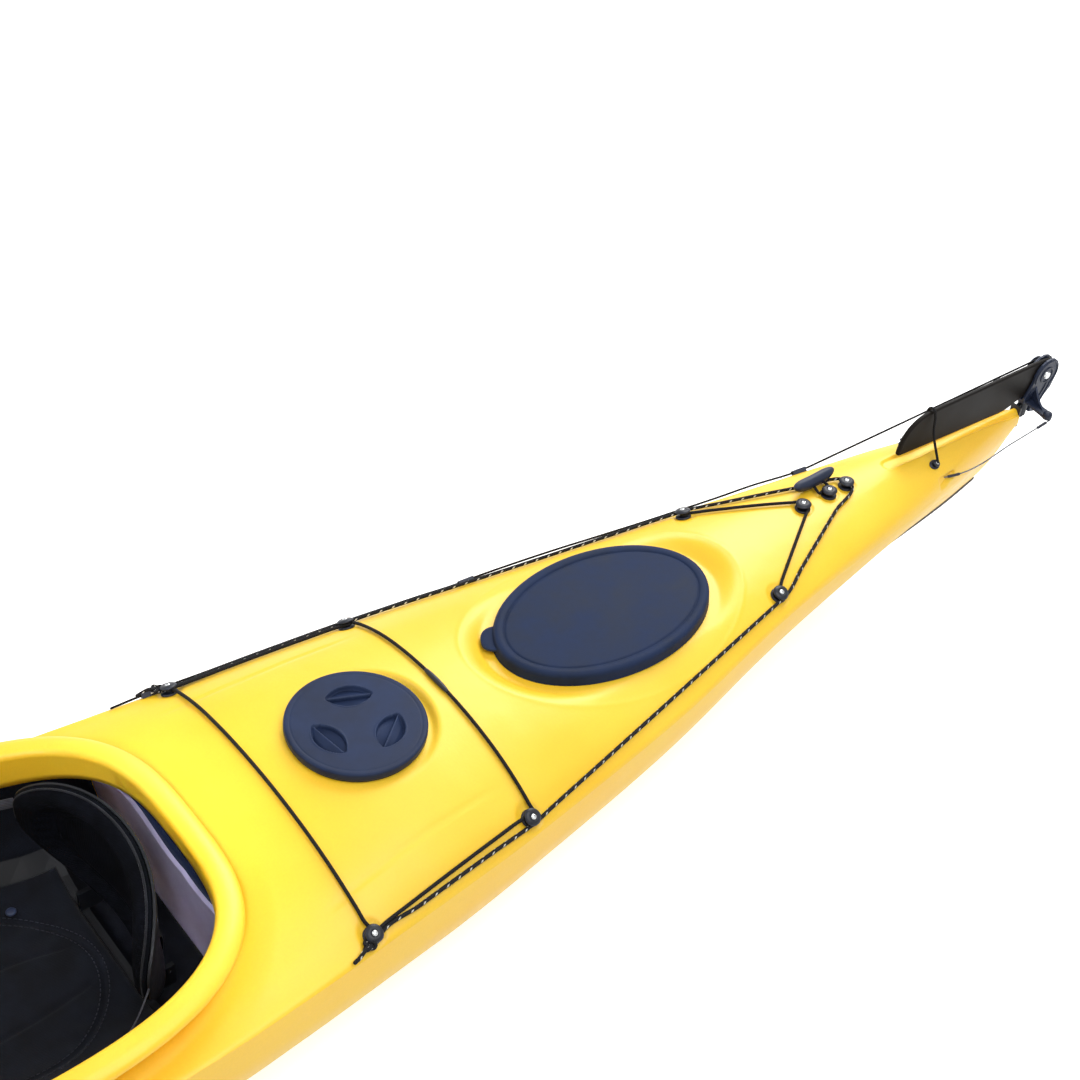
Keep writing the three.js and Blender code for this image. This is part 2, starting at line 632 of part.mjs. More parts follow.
// The outline is walked at even steps of its length
const rimWalk = (() => {
  const fine = 720;
  const lengths = [0];
  for (let i = 1; i <= fine; i += 1) {
    const a = rimEdge((i - 1) / fine);
    const b = rimEdge(i / fine);
    lengths.push(lengths[i - 1] + Math.hypot(b.x - a.x, b.y - a.y));
  }
  return (share) => {
    const wanted = (share - Math.floor(share)) * lengths[fine];
    let i = 1;
    while (i < fine && lengths[i] < wanted) i += 1;
    return (i - 1 + (wanted - lengths[i - 1]) / (lengths[i] - lengths[i - 1])) / fine;
  };
})();

function rimProfile(t) {
  const at = (offset, height) => {
    const edge = rimEdge(t, offset);
    return vec(edge.x, edge.y, rimHeight(edge.x) + height);
  };
  const down = (offset) => {
    const edge = rimEdge(t, offset);
    return vec(edge.x, edge.y, deckZ(edge.x, edge.y) - rim.hang);
  };
  const w = rim.rollWidth;
  const drop = rim.lipDrop;
  return [
    down(rim.neckIn), at(0, -0.8 * drop), at(0.01 * w, -0.4 * drop), at(0.12 * w, -0.08 * drop),
    at(0.36 * w, 0), at(0.66 * w, -0.1 * drop), at(0.92 * w, -0.4 * drop), at(w, -0.7 * drop),
    at(0.97 * w, -drop), at(0.8 * w, -1.02 * drop), at(rim.neckOut + rim.inset, -0.85 * drop),
    at(rim.neckOut, -drop), down(rim.neckOut),
  ];
}

function makeCoaming() {
  const rings = [];
  for (let i = 0; i < rim.steps; i += 1) rings.push(rimProfile(rimWalk(i / rim.steps)));
  addPiece("cockpit_coaming", loft(rings, "loop"), "shell");
}

function cockpitHole() {
  const ring = (z) => {
    const points = [];
    for (let i = 0; i < rim.steps; i += 1) {
      const edge = rimEdge(rimWalk(i / rim.steps), rim.neckOut + 2 * fitGap);
      points.push(vec(edge.x, edge.y, z));
    }
    return points;
  };
  return solid(loft([ring(sheerHeight / 2), ring(deckHeight + overrun)]));
}

// Spans of the deck from aft to fore, parted across the middle of each opening
const cockpitMiddle = (rim.rearX + rim.frontX) / 2;
const deckSpans = [
  ["deck_stern", -sternReach - overrun, sternHatch.x], ["deck_rear", sternHatch.x, dayHatch.x],
  ["deck_middle", dayHatch.x, cockpitMiddle], ["deck_fore", cockpitMiddle, bowHatch.x],
  ["deck_bow", bowHatch.x, bowReach + overrun],
];

// Rudder frame: local points and geometries to the boat
const rudderGroup = new THREE.Matrix4().makeRotationY(-rudder.tilt);
rudderGroup.setPosition(rudder.footX, 0, rudder.footZ);
const fromRudder = (x, y, z) => vec(x, y, z).applyMatrix4(rudderGroup);
const placed = (geometry) => geometry.applyMatrix4(rudderGroup);

function grooveCut() {
  const long = groove.startX + sternReach + overrun;
  const low = grooveShares.map(([across, high]) => [across * groove.halfWidth, high * groove.depth]);
  const profile = [[-groove.halfWidth, overrun], ...low, [groove.halfWidth, overrun]];
  const ringAt = (x, rise) => profile.map(([y, z]) => vec(x, y, z + rise));
  const floor = (x) => section(Math.max(x, -sternReach)).ridge - groove.depth;
  const places = [0, 0.25, 0.5, 0.75, 1].map((t) => groove.startX - t * long);
  const rings = places.map((x) => ringAt(x, floor(x)));
  rings.unshift(ringAt(groove.startX + groove.runIn, floor(groove.startX) + groove.depth + groove.lift));
  return solid(loft(rings));
}

function exitCut(side) {
  const slot = new THREE.BoxGeometry(cableExit.long, overrun, cableExit.high);
  slot.translate(cableExit.x, side * (hullExitY() + overrun / 2 - 3 * wall), cableExit.z);
  return solid(slot);
}

function hullExitY() {
  const s = section(cableExit.x);
  const half = deckHalf(s);
  for (let i = 0; i < half.length - 1; i += 1) {
    const [outer, low] = half[i];
    const [inner, high] = half[i + 1];
    if (cableExit.z >= low && cableExit.z <= high) {
      return mix(outer, inner, (cableExit.z - low) / (high - low));
    }
  }
  return half[0][0];
}

function makeHull() {
  const outer = hullSolid(-sternReach, bowReach, 0, 0);
  const inner = hullSolid(cavityFrom, cavityTo, wall, overrun);
  addPiece("hull_shell", outer.subtract(inner), "shell");
}

function makeDeck() {
  const none = () => 0;
  const lift = (body) => body.translate([0, 0, seamGap]);
  const outer = lift(deckSolid(-sternReach, bowReach, 0, none, 0));
  const inner = lift(deckSolid(cavityFrom, cavityTo, wall, grooveDrop, overrun));
  let deck = outer.subtract(inner);
  const dayWell = dayHatch.cover + dayHatch.pocketGap;
  const dayHole = dayHatch.neck + dayHatch.holeGap;
  const cuts = [
    hatchCuts(sternHatch, ovalWell, ovalHole.map((half) => half + oval.holeGap), oval.panWall),
    hatchCuts(bowHatch, ovalWell, ovalHole.map((half) => half + oval.holeGap), oval.panWall),
    hatchCuts(dayHatch, [dayWell, dayWell], [dayHole, dayHole], oval.panWall),
  ];
  for (const cut of cuts) {
    deck = deck.add(outer.intersect(cut.pan)).subtract(cut.well).subtract(cut.hole);
  }
  deck = deck.subtract(cockpitHole()).subtract(grooveCut());
  deck = deck.subtract(exitCut(1)).subtract(exitCut(-1));
  for (const [x, y] of Object.values(fittingPlaces)) {
    const hollow = cylinderAlong("z", fitting.base + fitting.recessGap, overrun, 10);
    hollow.translate(0, 0, overrun / 2);
    deck = deck.subtract(solid(standOn(hollow, fittingSeat(x, y))));
  }
  const cell = 4 * deckHeight;
  for (const [name, from, to] of deckSpans) {
    const span = new THREE.BoxGeometry(to - from - seamGap, cell, cell).translate((from + to) / 2, 0, 0);
    addPiece(name, largestPart(deck.intersect(solid(span))), "shell");
  }
}

// Keeps the main body when a cut leaves loose crumbs
function largestPart(body) {
  return body.decompose().sort((a, b) => b.volume() - a.volume())[0];
}

// The cable tubes run along the hull sides and end in the mouths at the stern
function tubePoints(side) {
  const points = [];
  for (let i = 0; i <= tube.steps; i += 1) {
    const x = mix(tube.startX, cableExit.x + tube.leadLong, i / tube.steps);
    const z = section(x).sheer - tube.below * ease((x - cableExit.x) / tube.sinkLong);
    points.push(vec(x, side * (hullY(x, z) - wall - tube.inFrom), z));
  }
  const last = points[points.length - 1];
  const mouthY = side * (hullExitY() - tube.mouthIn);
  const mouth = vec(cableExit.x + tube.mouthAhead, mouthY, cableExit.z - tube.mouthDrop);
  for (const t of tubeLeadShares) points.push(last.clone().lerp(mouth, t));
  return points;
}

// Bulkheads stand between the openings and fill the section, with a hole for each cable tube
function bulkheadPlaces() {
  const ovalPan = oval.coverX + oval.tabGap + oval.panWall;
  const dayPan = dayHatch.cover + dayHatch.pocketGap + oval.panWall;
  return {
    bulkhead_bow: bowHatch.x - ovalPan - bulkhead.bowGap,
    bulkhead_seat: mix(rim.rearX - rim.rollWidth, dayHatch.x + dayPan, bulkheadShares.seat),
    bulkhead_day: mix(dayHatch.x - dayPan, sternHatch.x + ovalPan, bulkheadShares.day),
  };
}

function makeBulkheads() {
  const room = cavity(fitGap);
  for (const [name, x] of Object.entries(bulkheadPlaces())) {
    const slab = new THREE.BoxGeometry(bulkhead.thick, 4 * halfBeam, 4 * deckHeight);
    slab.translate(x, 0, 0);
    let panel = solid(slab).intersect(room);
    for (const side of [1, -1]) {
      panel = panel.subtract(solid(roundTube(tubePoints(side), tube.radius + tube.gap, 10)));
    }
    addPiece(name, largestPart(panel), "panel");
  }
}

function makeCableTubes() {
  for (const [side, label] of [[1, "port"], [-1, "starboard"]]) {
    addPiece(`cable_tube_${label}`, roundTube(tubePoints(side), tube.radius, cordSides), "plastic");
  }
}

// Oval hatches: a rim in the deck and a soft cover that grips it, with a pull tab at its edge
function makeOvalHatch(name, hatch, tabSide) {
  const o = oval;
  const lipTop = o.coverRise - o.topWall - fitGap;
  const lipRoot = -o.lipIn - o.lipWall;
  const flangeOut = -o.skirtWall - 2 * fitGap - o.flangeIn;
  const rimBand = ovalBand(o.coverX, o.coverY, [
    [lipRoot, -o.neckDrop], [lipRoot, lipTop], [-o.lipIn, lipTop],
    [-o.lipIn + o.hookOut, lipTop - o.hookHigh], [-o.lipIn, lipTop - 2 * o.hookHigh],
    [-o.lipIn, o.flangeThick], [flangeOut, o.flangeThick], [flangeOut, fitGap],
    [-o.lipIn - fitGap, fitGap], [-o.lipIn - fitGap, -o.neckDrop],
  ]);
  const trim = o.holeGap - fitGap - o.trimGap;
  const neckTrim = ovalBlock(ovalHole[0] + trim, ovalHole[1] + trim, -overrun, fitGap);
  const neckTop = ovalBlock(2 * o.coverX, 2 * o.coverY, fitGap, overrun);
  const body = solid(rimBand).intersect(solid(neckTrim).add(solid(neckTop)));
  addPiece(`hatch_rim_${name}`, onSeat(geometryOf(largestPart(body)), hatch), "rubber");

  const inner = -o.skirtWall;
  const under = o.coverRise - o.topWall;
  const field = -fieldShare * o.coverY;
  const profile = [
    [field, under], [inner, under], [inner, fitGap],
    [o.footOut, fitGap], [0, o.footRise], [0, o.coverRise - o.edgeRound],
    [-0.3 * o.edgeRound, o.coverRise - 0.3 * o.edgeRound], [-o.edgeRound, o.coverRise],
    [-o.grooveIn + o.grooveHalf, o.coverRise], [-o.grooveIn, o.coverRise - o.grooveDeep],
    [-o.grooveIn - o.grooveHalf, o.coverRise], [field, o.coverRise],
  ];
  const cover = solid(loft(profile.map(([offset, z]) => ovalRing(o.coverX, o.coverY, offset, z, ovalSides))));
  const outline = tabShares.map(([along, across], i) => {
    const tip = i === 2 || i === 3;
    return [along * (along < 0 ? tab.root : tab.long), across * (tip ? tab.tipHalf : tab.half)];
  });
  const pull = plateXY(outline, tab.thick).translate(tab.out, 0, tab.low);
  const angle = tabSide * tab.angle;
  pull.rotateZ(Math.atan2(Math.sin(angle) * o.coverX, Math.cos(angle) * o.coverY));
  pull.translate(o.coverX * Math.cos(angle), o.coverY * Math.sin(angle), 0);
  addPiece(`hatch_cover_${name}`, onSeat(geometryOf(cover.add(solid(pull))), hatch), "rubber");
}

// Round day hatch: rim, seal and a cover with three finger pockets
function makeDayHatch() {
  const d = dayHatch;
  const rimShape = turned([
    [d.neck - d.neckWall, -d.neckDrop], [d.neck, -d.neckDrop], [d.neck, fitGap], [d.flange, fitGap],
    [d.flange, d.flangeThick], [d.sealIn - fitGap, d.flangeThick], [d.sealIn - fitGap, d.rimRise],
    [d.neck - d.neckWall, d.rimRise], [d.neck - d.neckWall, -d.neckDrop],
  ], d.sides);
  addPiece("day_hatch_rim", onSeat(rimShape, d), "plastic");

  const coverLow = d.coverRise - d.topWall;
  const sealTop = coverLow - fitGap;
  const sealShape = turned([
    [d.sealIn, d.flangeThick + fitGap], [d.sealOut, d.flangeThick + fitGap], [d.sealOut, sealTop],
    [d.sealIn, sealTop], [d.sealIn, d.flangeThick + fitGap],
  ], d.sides);
  addPiece("day_hatch_seal", onSeat(sealShape, d), "rubber");

  const plug = d.neck - d.neckWall - d.plugGap;
  const disc = solid(turned([
    [0, coverLow], [plug - d.plugWall, coverLow], [plug - d.plugWall, -d.plugDrop], [plug, -d.plugDrop],
    [plug, coverLow], [d.cover - d.edgeLow, coverLow], [d.cover, coverLow + d.edgeFoot],
    [d.cover, d.coverRise - d.edgeRound], [d.cover - d.edgeRound, d.coverRise], [0, d.coverRise],
  ], d.sides));
  const pocket = (grow, turn) => {
    const shape = new THREE.SphereGeometry(1, 9, 6);
    shape.scale(d.gripWide + grow, d.gripLong + grow, d.gripDeep + grow);
    shape.translate(d.gripPlace, 0, d.coverRise + d.gripLift);
    shape.rotateZ(turn);
    return solid(shape);
  };
  const turns = Array.from({ length: d.grips }, (_, i) => d.gripTurn + 2 * Math.PI * i / d.grips);
  const skinLow = d.coverRise - d.skin;
  const belowSkin = [[0, -overrun], [d.cover, -overrun], [d.cover, skinLow], [0, skinLow]];
  const below = solid(turned(belowSkin, d.sides));
  let cover = disc;
  for (const turn of turns) cover = cover.add(pocket(d.gripWall, turn).intersect(below));
  for (const turn of turns) cover = cover.subtract(pocket(0, turn));
  addPiece("day_hatch_cover", onSeat(geometryOf(largestPart(cover)), d), "plastic");
}

// Round fittings that hold the lines: base, neck and dished cap
function makeFittings() {
  const f = fitting;
  const top = f.baseHigh + f.neckHigh + f.capHigh;
  const profile = [
    [0, fitGap], [f.base, fitGap], [f.base, f.baseHigh], [f.neck, f.baseHigh],
    [f.neck, f.baseHigh + f.neckHigh], [f.cap, f.baseHigh + f.neckHigh], [f.cap, top - f.capRound],
    [f.cap - f.capFlat, top], [0, top - f.capDish],
  ];
  for (const [name, [x, y]] of Object.entries(fittingPlaces)) {
    addPiece(name, standOn(turned(profile, 8), fittingSeat(x, y)), "plastic");
  }
}

function guideFrame(name) {
  const [x, y] = guidePlaces[name];
  const slope = (section(x + guide.long).half - section(x - guide.long).half) / (2 * guide.long);
  const matrix = new THREE.Matrix4().makeRotationZ(Math.sign(y) * Math.atan(slope));
  matrix.premultiply(new THREE.Matrix4().makeRotationFromQuaternion(
    new THREE.Quaternion().setFromUnitVectors(up, deckNormal(x, y))));
  return matrix.setPosition(x, y, deckZ(x, y) + seamGap);
}

function makeGuides() {
  const skin = deckSolid(-sternReach, bowReach, -fitGap, () => 0, 0).translate([0, 0, seamGap]);
  for (const name of Object.keys(guidePlaces)) {
    const block = solid(new THREE.BoxGeometry(guide.long, guide.wide, guide.high + guide.sink)
      .translate(0, 0, (guide.high - guide.sink) / 2));
    const bore = solid(cylinderAlong("x", guide.bore, 2 * guide.long, 8)
      .translate(0, 0, guideBoreShare * guide.high));
    const shape = geometryOf(block.subtract(bore)).applyMatrix4(guideFrame(name));
    addPiece(name, largestPart(solid(shape).subtract(skin)), "plastic");
  }
}

// The point beside a fitting's neck, on a bearing in plan, at a height share of its neck
function besideNeck(name, bearing, radius, heightShare = 0.5) {
  const place = fittingSeat(...fittingPlaces[name]);
  const out = fitting.neck + radius + lineRoom;
  const z = fitting.baseHigh + radius + fitGap + heightShare * (fitting.neckHigh - 2 * radius - 2 * fitGap);
  const p = vec(out * Math.cos(bearing), out * Math.sin(bearing), z);
  return p.applyQuaternion(place.turn).add(place.foot);
}

// A line's straight run between two given points, kept clear of the crowned deck
function taut(from, to, radius, step = lineStep) {
  const length = from.distanceTo(to);
  const count = Math.max(2, Math.round(length / step));
  const points = [from];
  for (let i = 1; i < count; i += 1) {
    const p = from.clone().lerp(to, 0.5 - 0.5 * Math.cos(Math.PI * i / count));
    const low = deckZ(p.x, p.y) + (radius + lineLift) / deckNormal(p.x, p.y).z;
    points.push(vec(p.x, p.y, Math.max(p.z, low)));
  }
  points.push(to);
  return points;
}

function chain(stops, radius, step) {
  const points = [stops[0]];
  for (let i = 1; i < stops.length; i += 1) {
    const gap = stops[i].distanceTo(stops[i - 1]);
    if (gap < 3 * fitting.base) points.push(stops[i]);
    else points.push(...taut(stops[i - 1], stops[i], radius, step).slice(1));
  }
  return points;
}

const turnOf = (degrees) => degrees * Math.PI / 180;

// Round the outboard side of a neck, in three points
function roundNeck(name, bearings, radius) {
  return bearings.map((degrees) => besideNeck(name, turnOf(degrees), radius));
}

function makeLines() {
  const perimeter = chain([
    ...roundNeck("deck_fitting_port_front", [30, 90, 150], lineRadius),
    ...roundNeck("deck_fitting_port_middle", [80, 115], lineRadius),
    ...roundNeck("deck_fitting_port_rear", [80, 125], lineRadius),
    ...roundNeck("deck_fitting_toggle_rear", [125, 180, 235], lineRadius),
    ...roundNeck("deck_fitting_starboard_rear", [235, 280], lineRadius),
    ...roundNeck("deck_fitting_starboard_middle", [245, 280], lineRadius),
    ...roundNeck("deck_fitting_starboard_front", [210, 270, 330], lineRadius),
  ], lineRadius, perimeterStep);
  addPiece("perimeter_line", roundTube(perimeter, lineRadius, cordSides), "cord");

  const loop = chain([
    ...roundNeck("deck_fitting_port_front", [250, 200], bungeeRadius),
    ...roundNeck("deck_fitting_port_middle", [330, 270, 225], bungeeRadius),
    ...roundNeck("deck_fitting_starboard_middle", [135, 90, 30], bungeeRadius),
    ...roundNeck("deck_fitting_starboard_front", [160, 110], bungeeRadius),
    besideNeck("deck_fitting_port_front", turnOf(285), bungeeRadius)
      .add(vec(0, bungeeEnd.across, bungeeEnd.high)),
  ], bungeeRadius, lineStep);
  addPiece("bungee_loop", roundTube(loop, bungeeRadius, cordSides), "cord");

  const vee = chain([
    ...roundNeck("deck_fitting_port_rear", [300, 240], bungeeRadius),
    ...roundNeck("deck_fitting_centre", [120, 180, 240], bungeeRadius),
    ...roundNeck("deck_fitting_starboard_rear", [120, 60], bungeeRadius),
  ], bungeeRadius, lineStep);
  addPiece("rear_bungee", roundTube(vee, bungeeRadius, cordSides), "cord");
}

// Haul line: along the starboard gunwale through its guides, then up to the rudder's drum
function makeHaulLine() {
  const inGuide = (name, along) => vec(along, 0, guideBoreShare * guide.high).applyMatrix4(guideFrame(name));
  const reach = guide.long / 2 + guide.mouthGap;
  const through = (name) => [inGuide(name, reach), inGuide(name, -reach)];
  const [frontIn, frontOut] = through("line_guide_front");
  const [middleIn, middleOut] = through("line_guide_middle");
  const [rearIn, rearOut] = through("line_guide_rear");
  const start = vec(frontIn.x + haul.tail, frontIn.y - haul.tailOut, frontIn.z + haul.tailRise);
  const r = rudder;
  const drumSide = -(r.bladeThick / 2 + r.cheekGap + r.cheekThick + r.drumGap + r.drumWide / 2);
  const drumHigh = r.hubZ + r.drumRadius - r.drumGroove + haulRadius + haul.drumRise;
  const drumTop = fromRudder(r.hubX + haul.drumAhead, drumSide, drumHigh);
  const outboard = (a, b, count) => {
    const points = [];
    for (let i = 1; i <= count; i += 1) {
      const p = a.clone().lerp(b, i / count);
      const s = section(p.x);
      if (i < count) p.y = -Math.max(Math.abs(p.y), s.half * gunwaleShare);
      if (i < count) p.z = Math.max(p.z, deckZ(p.x, p.y) + haulRadius + lineLift);
      points.push(p);
    }
    return points;
  };
  const points = [start, frontIn, frontOut, ...outboard(frontOut, middleIn, haul.frontSteps), middleOut,
    ...outboard(middleOut, rearIn, haul.rearSteps), ...taut(rearOut, drumTop, haulRadius, haul.step)];
  addPiece("haul_line", roundTube(points, haulRadius, 6), "cord");
}

// Rudder blade in the stowed pose, its root round about the pivot
function bladeOutline() {
  const r = rudder;
  const arcSteps = 9;
  const root = [];
  for (let i = 0; i <= arcSteps; i += 1) {
    const angle = mix(bladeRootTurns[0], bladeRootTurns[1], i / arcSteps) * Math.PI;
    root.push([r.hubX + r.hubRadius * Math.cos(angle), r.hubZ + r.hubRadius * Math.sin(angle)]);
  }
  const placesOn = (shares, height) => shares.map(([along, high]) => [along * r.bladeLength, high * height]);
  return [
    [r.bladeLength, 0], ...placesOn(bladeTipShares, r.tipTopZ), [r.tipTopX, r.tipTopZ],
    ...placesOn(bladeTopShares, r.bladeTop), ...root, ...placesOn(bladeFootShares, r.bladeTop),
  ];
}

// Outline of a cheek with the shield behind it, in the rudder's own frame
function cheekOutline() {
  const r = rudder;
  const arcSteps = 10;
  const points = [];
  for (let i = 0; i <= arcSteps; i += 1) {
    const angle = mix(cheekTurns[0], cheekTurns[1], i / arcSteps) * Math.PI;
    points.push([r.hubX + r.cheekRadius * Math.cos(angle), r.hubZ + r.cheekRadius * Math.sin(angle)]);
  }
  const inHubs = ([x, z]) => [x * r.hubRadius, z * r.hubRadius];
  const [backX, backZ] = inHubs(cheekBackShares);
  return [...points, [r.hubX + backX, r.hubZ + backZ], ...shieldShares.map(inHubs),
    [r.shieldX, r.shieldToe - r.shieldDrop], [r.shieldX, r.plateZ], ...cheekFrontShares.map(inHubs)];
}

// Rudder head: two cheeks with room for the blade at every angle, and the steering arms
function makeYoke(cheekIn, cheekOut) {
  const r = rudder;
  const inHubs = ([x, z]) => [x * r.hubRadius, z * r.hubRadius];
  const room = (shares) => solid(plateXZ(shares.map(inHubs), 2 * cheekIn));
  let yoke = solid(plateXZ(cheekOutline(), 2 * cheekOut, r.headBevel));
  yoke = yoke.subtract(room(bladeSlotShares)).subtract(room(bladeSweepShares));
  const hub = cylinderAlong("z", r.yokeHub, r.yokeHubHigh, 14).translate(0, 0, r.plateZ + r.yokeHubHigh / 2);
  yoke = yoke.add(solid(hub));
  for (const side of [1, -1]) {
    const outline = armShares.map(([along, across, span]) => [
      along * r.armWide, side * (across * r.armWide + span * r.armSpan)]);
    if (side < 0) outline.reverse();
    yoke = yoke.add(solid(plateXY(outline, r.plateThick).translate(0, 0, r.plateZ)));
    const horn = cylinderAlong("z", r.hornRadius, r.hornHigh, 8);
    yoke = yoke.add(solid(horn.translate(r.hornX, side * (r.armSpan - r.hornIn), r.plateZ + r.hornHigh / 2)));
  }
  const boltHole = cylinderAlong("y", r.boltRadius + fitGap, 4 * overrun, 20).translate(r.hubX, 0, r.hubZ);
  const pinHole = cylinderAlong("z", pintle.radius + fitGap, 4 * overrun, 16);
  yoke = yoke.subtract(solid(boltHole)).subtract(solid(pinHole));
  addPiece("rudder_yoke", placed(geometryOf(largestPart(yoke))), "plastic");
}

// A turned piece about the rudder's pivot, from a profile of radius and place across
function onPivot(profile, sides) {
  return placed(turned(profile, sides).rotateX(-Math.PI / 2).translate(rudder.hubX, 0, rudder.hubZ));
}

function makeRudder() {
  const r = rudder;
  const bore = r.boltRadius + fitGap;
  const boltHole = cylinderAlong("y", bore, 4 * overrun, 20).translate(r.hubX, 0, r.hubZ);
  const blade = solid(plateXZ(bladeOutline(), r.bladeThick, r.bladeBevel)).subtract(solid(boltHole));
  addPiece("rudder_blade", placed(geometryOf(blade)), "blade");

  const cheekIn = r.bladeThick / 2 + r.cheekGap;
  const cheekOut = cheekIn + r.cheekThick;
  makeYoke(cheekIn, cheekOut);

  const drumInner = cheekOut + r.drumGap;
  const drumOuter = drumInner + r.drumWide;
  const headIn = drumOuter + fitGap;
  const headOut = headIn + r.boltHeadHigh;
  const nutIn = cheekOut + fitGap;
  addPiece("rudder_pivot_bolt", onPivot([
    [0, -headOut], [r.boltHead, -headOut], [r.boltHead, -headIn], [r.boltRadius, -headIn],
    [r.boltRadius, nutIn], [r.boltHead, nutIn], [r.boltHead - r.boltChamfer, nutIn + r.boltHeadHigh],
    [0, nutIn + r.boltHeadHigh],
  ], 16), "steel");

  const low = r.drumRadius - r.drumGroove;
  const wallOf = r.drumFlange;
  addPiece("rudder_drum", onPivot([
    [bore, -drumOuter], [r.drumRadius, -drumOuter], [r.drumRadius, -drumOuter + wallOf],
    [low, -drumOuter + wallOf + r.drumSlope], [low, -drumInner - wallOf - r.drumSlope],
    [r.drumRadius, -drumInner - wallOf], [r.drumRadius, -drumInner], [bore, -drumInner], [bore, -drumOuter],
  ], 18), "plastic");

  const nutTop = pintle.bottom + pintle.nutHigh;
  addPiece("rudder_pintle", placed(turned([
    [0, pintle.bottom], [pintle.nutRadius, pintle.bottom], [pintle.nutRadius, nutTop],
    [pintle.radius, nutTop], [pintle.radius, pintle.top], [0, pintle.top],
  ], 16)), "steel");
}

// Stern bracket: a plate on the stern post, a web and the barrel that the pintle turns in
function makeBracket() {
  const b = bracket;
  const barrel = cylinderAlong("z", b.barrel, b.top - b.bottom, 20).translate(0, 0, (b.top + b.bottom) / 2);
  const plateX = -sternReach - fitGap - b.plateThick / 2;
  const plate = new THREE.BoxGeometry(b.plateThick, 2 * b.plateHalf, b.plateHigh - b.plateLow)
    .translate(plateX, 0, rudder.footZ + (b.plateHigh + b.plateLow) / 2);
  const { footX, footZ } = rudder;
  const web = plateXZ([[footX, footZ + b.bottom + b.webLow], [footX + b.barrel, footZ + b.bottom + b.webFoot],
    [plateX, footZ + b.plateLow + b.webPlateLow], [plateX, footZ + b.plateHigh - b.webPlateHigh],
    [footX, footZ - b.webTop]], b.webThick);
  const bore = placed(cylinderAlong("z", pintle.radius + fitGap, 4 * overrun, 16));
  const body = solid(plate).add(solid(web)).add(solid(placed(barrel)));
  addPiece("stern_bracket", body.subtract(solid(bore)), "steel");
}

// Steering cables: from the tube mouths in the hull sides to the yoke's horns
function makeRudderCables() {
  const c = cable;
  for (const [side, label] of [[1, "port"], [-1, "starboard"]]) {
    const mouthY = side * (hullExitY() - tube.mouthIn + c.mouthOut);
    const exit = vec(cableExit.x + c.mouthAhead, mouthY, cableExit.z - c.mouthDrop);
    const out = vec(cableExit.x - c.outBack, side * (hullExitY() + c.outSide), cableExit.z + c.outRise);
    const horn = fromRudder(c.hornAhead, side * (rudder.armSpan + c.hornOut), rudder.plateZ - c.hornDrop);
    const clip = out.clone().lerp(horn, clipShare).add(vec(0, 0, -c.clipDrop));
    addPiece(`rudder_cable_${label}`, roundTube([exit, out, clip, horn], cableRadius, 6), "steel");
  }
}

function makeHoldDown() {
  const h = holdDown;
  const names = { hold_down_ball: h.portY, hold_down_hook: h.starboardY };
  for (const [name, y] of Object.entries(names)) {
    const foot = vec(h.x, y, deckZ(h.x, y));
    const normal = deckNormal(h.x, y);
    const shape = turned([
      [0, fitGap], [h.foot, fitGap], [h.foot, fitGap + h.footHigh], [h.stem, h.footHigh + h.stemFoot],
      [h.stem, h.footHigh + h.stemTop], [ballShares[0] * h.ball, h.footHigh + h.ballLow],
      [ballShares[1] * h.ball, h.footHigh + h.rise - h.shoulder],
      [ballShares[2] * h.ball, h.footHigh + h.rise],
      [0, h.footHigh + h.rise + h.crown],
    ], 12);
    shape.applyQuaternion(new THREE.Quaternion().setFromUnitVectors(up, normal));
    shape.translate(foot.x, foot.y, foot.z + h.seatLift);
    addPiece(name, shape, "plastic");
  }
  const end = (y, lift) => vec(h.x, y, deckZ(h.x, y)).addScaledVector(deckNormal(h.x, y), lift);
  const top = fromRudder(h.at, 0, rudder.bladeTop).z - h.topDrop;
  const half = rudder.bladeThick / 2 + bungeeRadius + fitGap;
  const endHigh = h.footHigh + h.rise + bungeeRadius + h.endLift;
  const climb = (side) => [
    vec(h.x - h.cordBack, side * (half + h.sideOut), top - h.sideDrop),
    vec(h.x - h.cordBackTop, side * (half + h.edgeOut), top - h.edgeDrop),
    vec(h.x - h.cordBackTop, side * (half - h.edgeIn), top + h.edgeRise),
  ];
  const crown = vec(h.x - h.cordBackTop, 0, top + bungeeRadius + h.crownRise);
  const ends = [end(h.portY, endHigh), end(h.starboardY, endHigh)];
  const points = [ends[0], ...climb(1), crown, ...climb(-1).reverse(), ends[1]];
  addPiece("hold_down_bungee", roundTube(points, bungeeRadius), "cord");
}

// Wear plate bent round the stern keel, cut to lie against the hull
function makeSkid() {
  const s = skid;
  const outer = hullSolid(-sternReach, bowReach, -s.thick - fitGap, 0);
  const inner = hullSolid(-sternReach, bowReach, -fitGap, 0);
  const rings = [];
  for (let i = 0; i <= s.steps; i += 1) {
    const x = -sternReach + s.fromStern + s.long * i / s.steps;
    const keel = section(x).keel;
    const high = keel + s.wrap * (0.5 + 0.5 * Math.sin(Math.PI * i / s.steps));
    const low = keel - overrun;
    rings.push([vec(x, -s.room, low), vec(x, s.room, low), vec(x, s.room, high), vec(x, -s.room, high)]);
  }
  const zone = solid(loft(rings));
  addPiece("keel_skid_plate", largestPart(outer.subtract(inner).intersect(zone)), "wear");
}

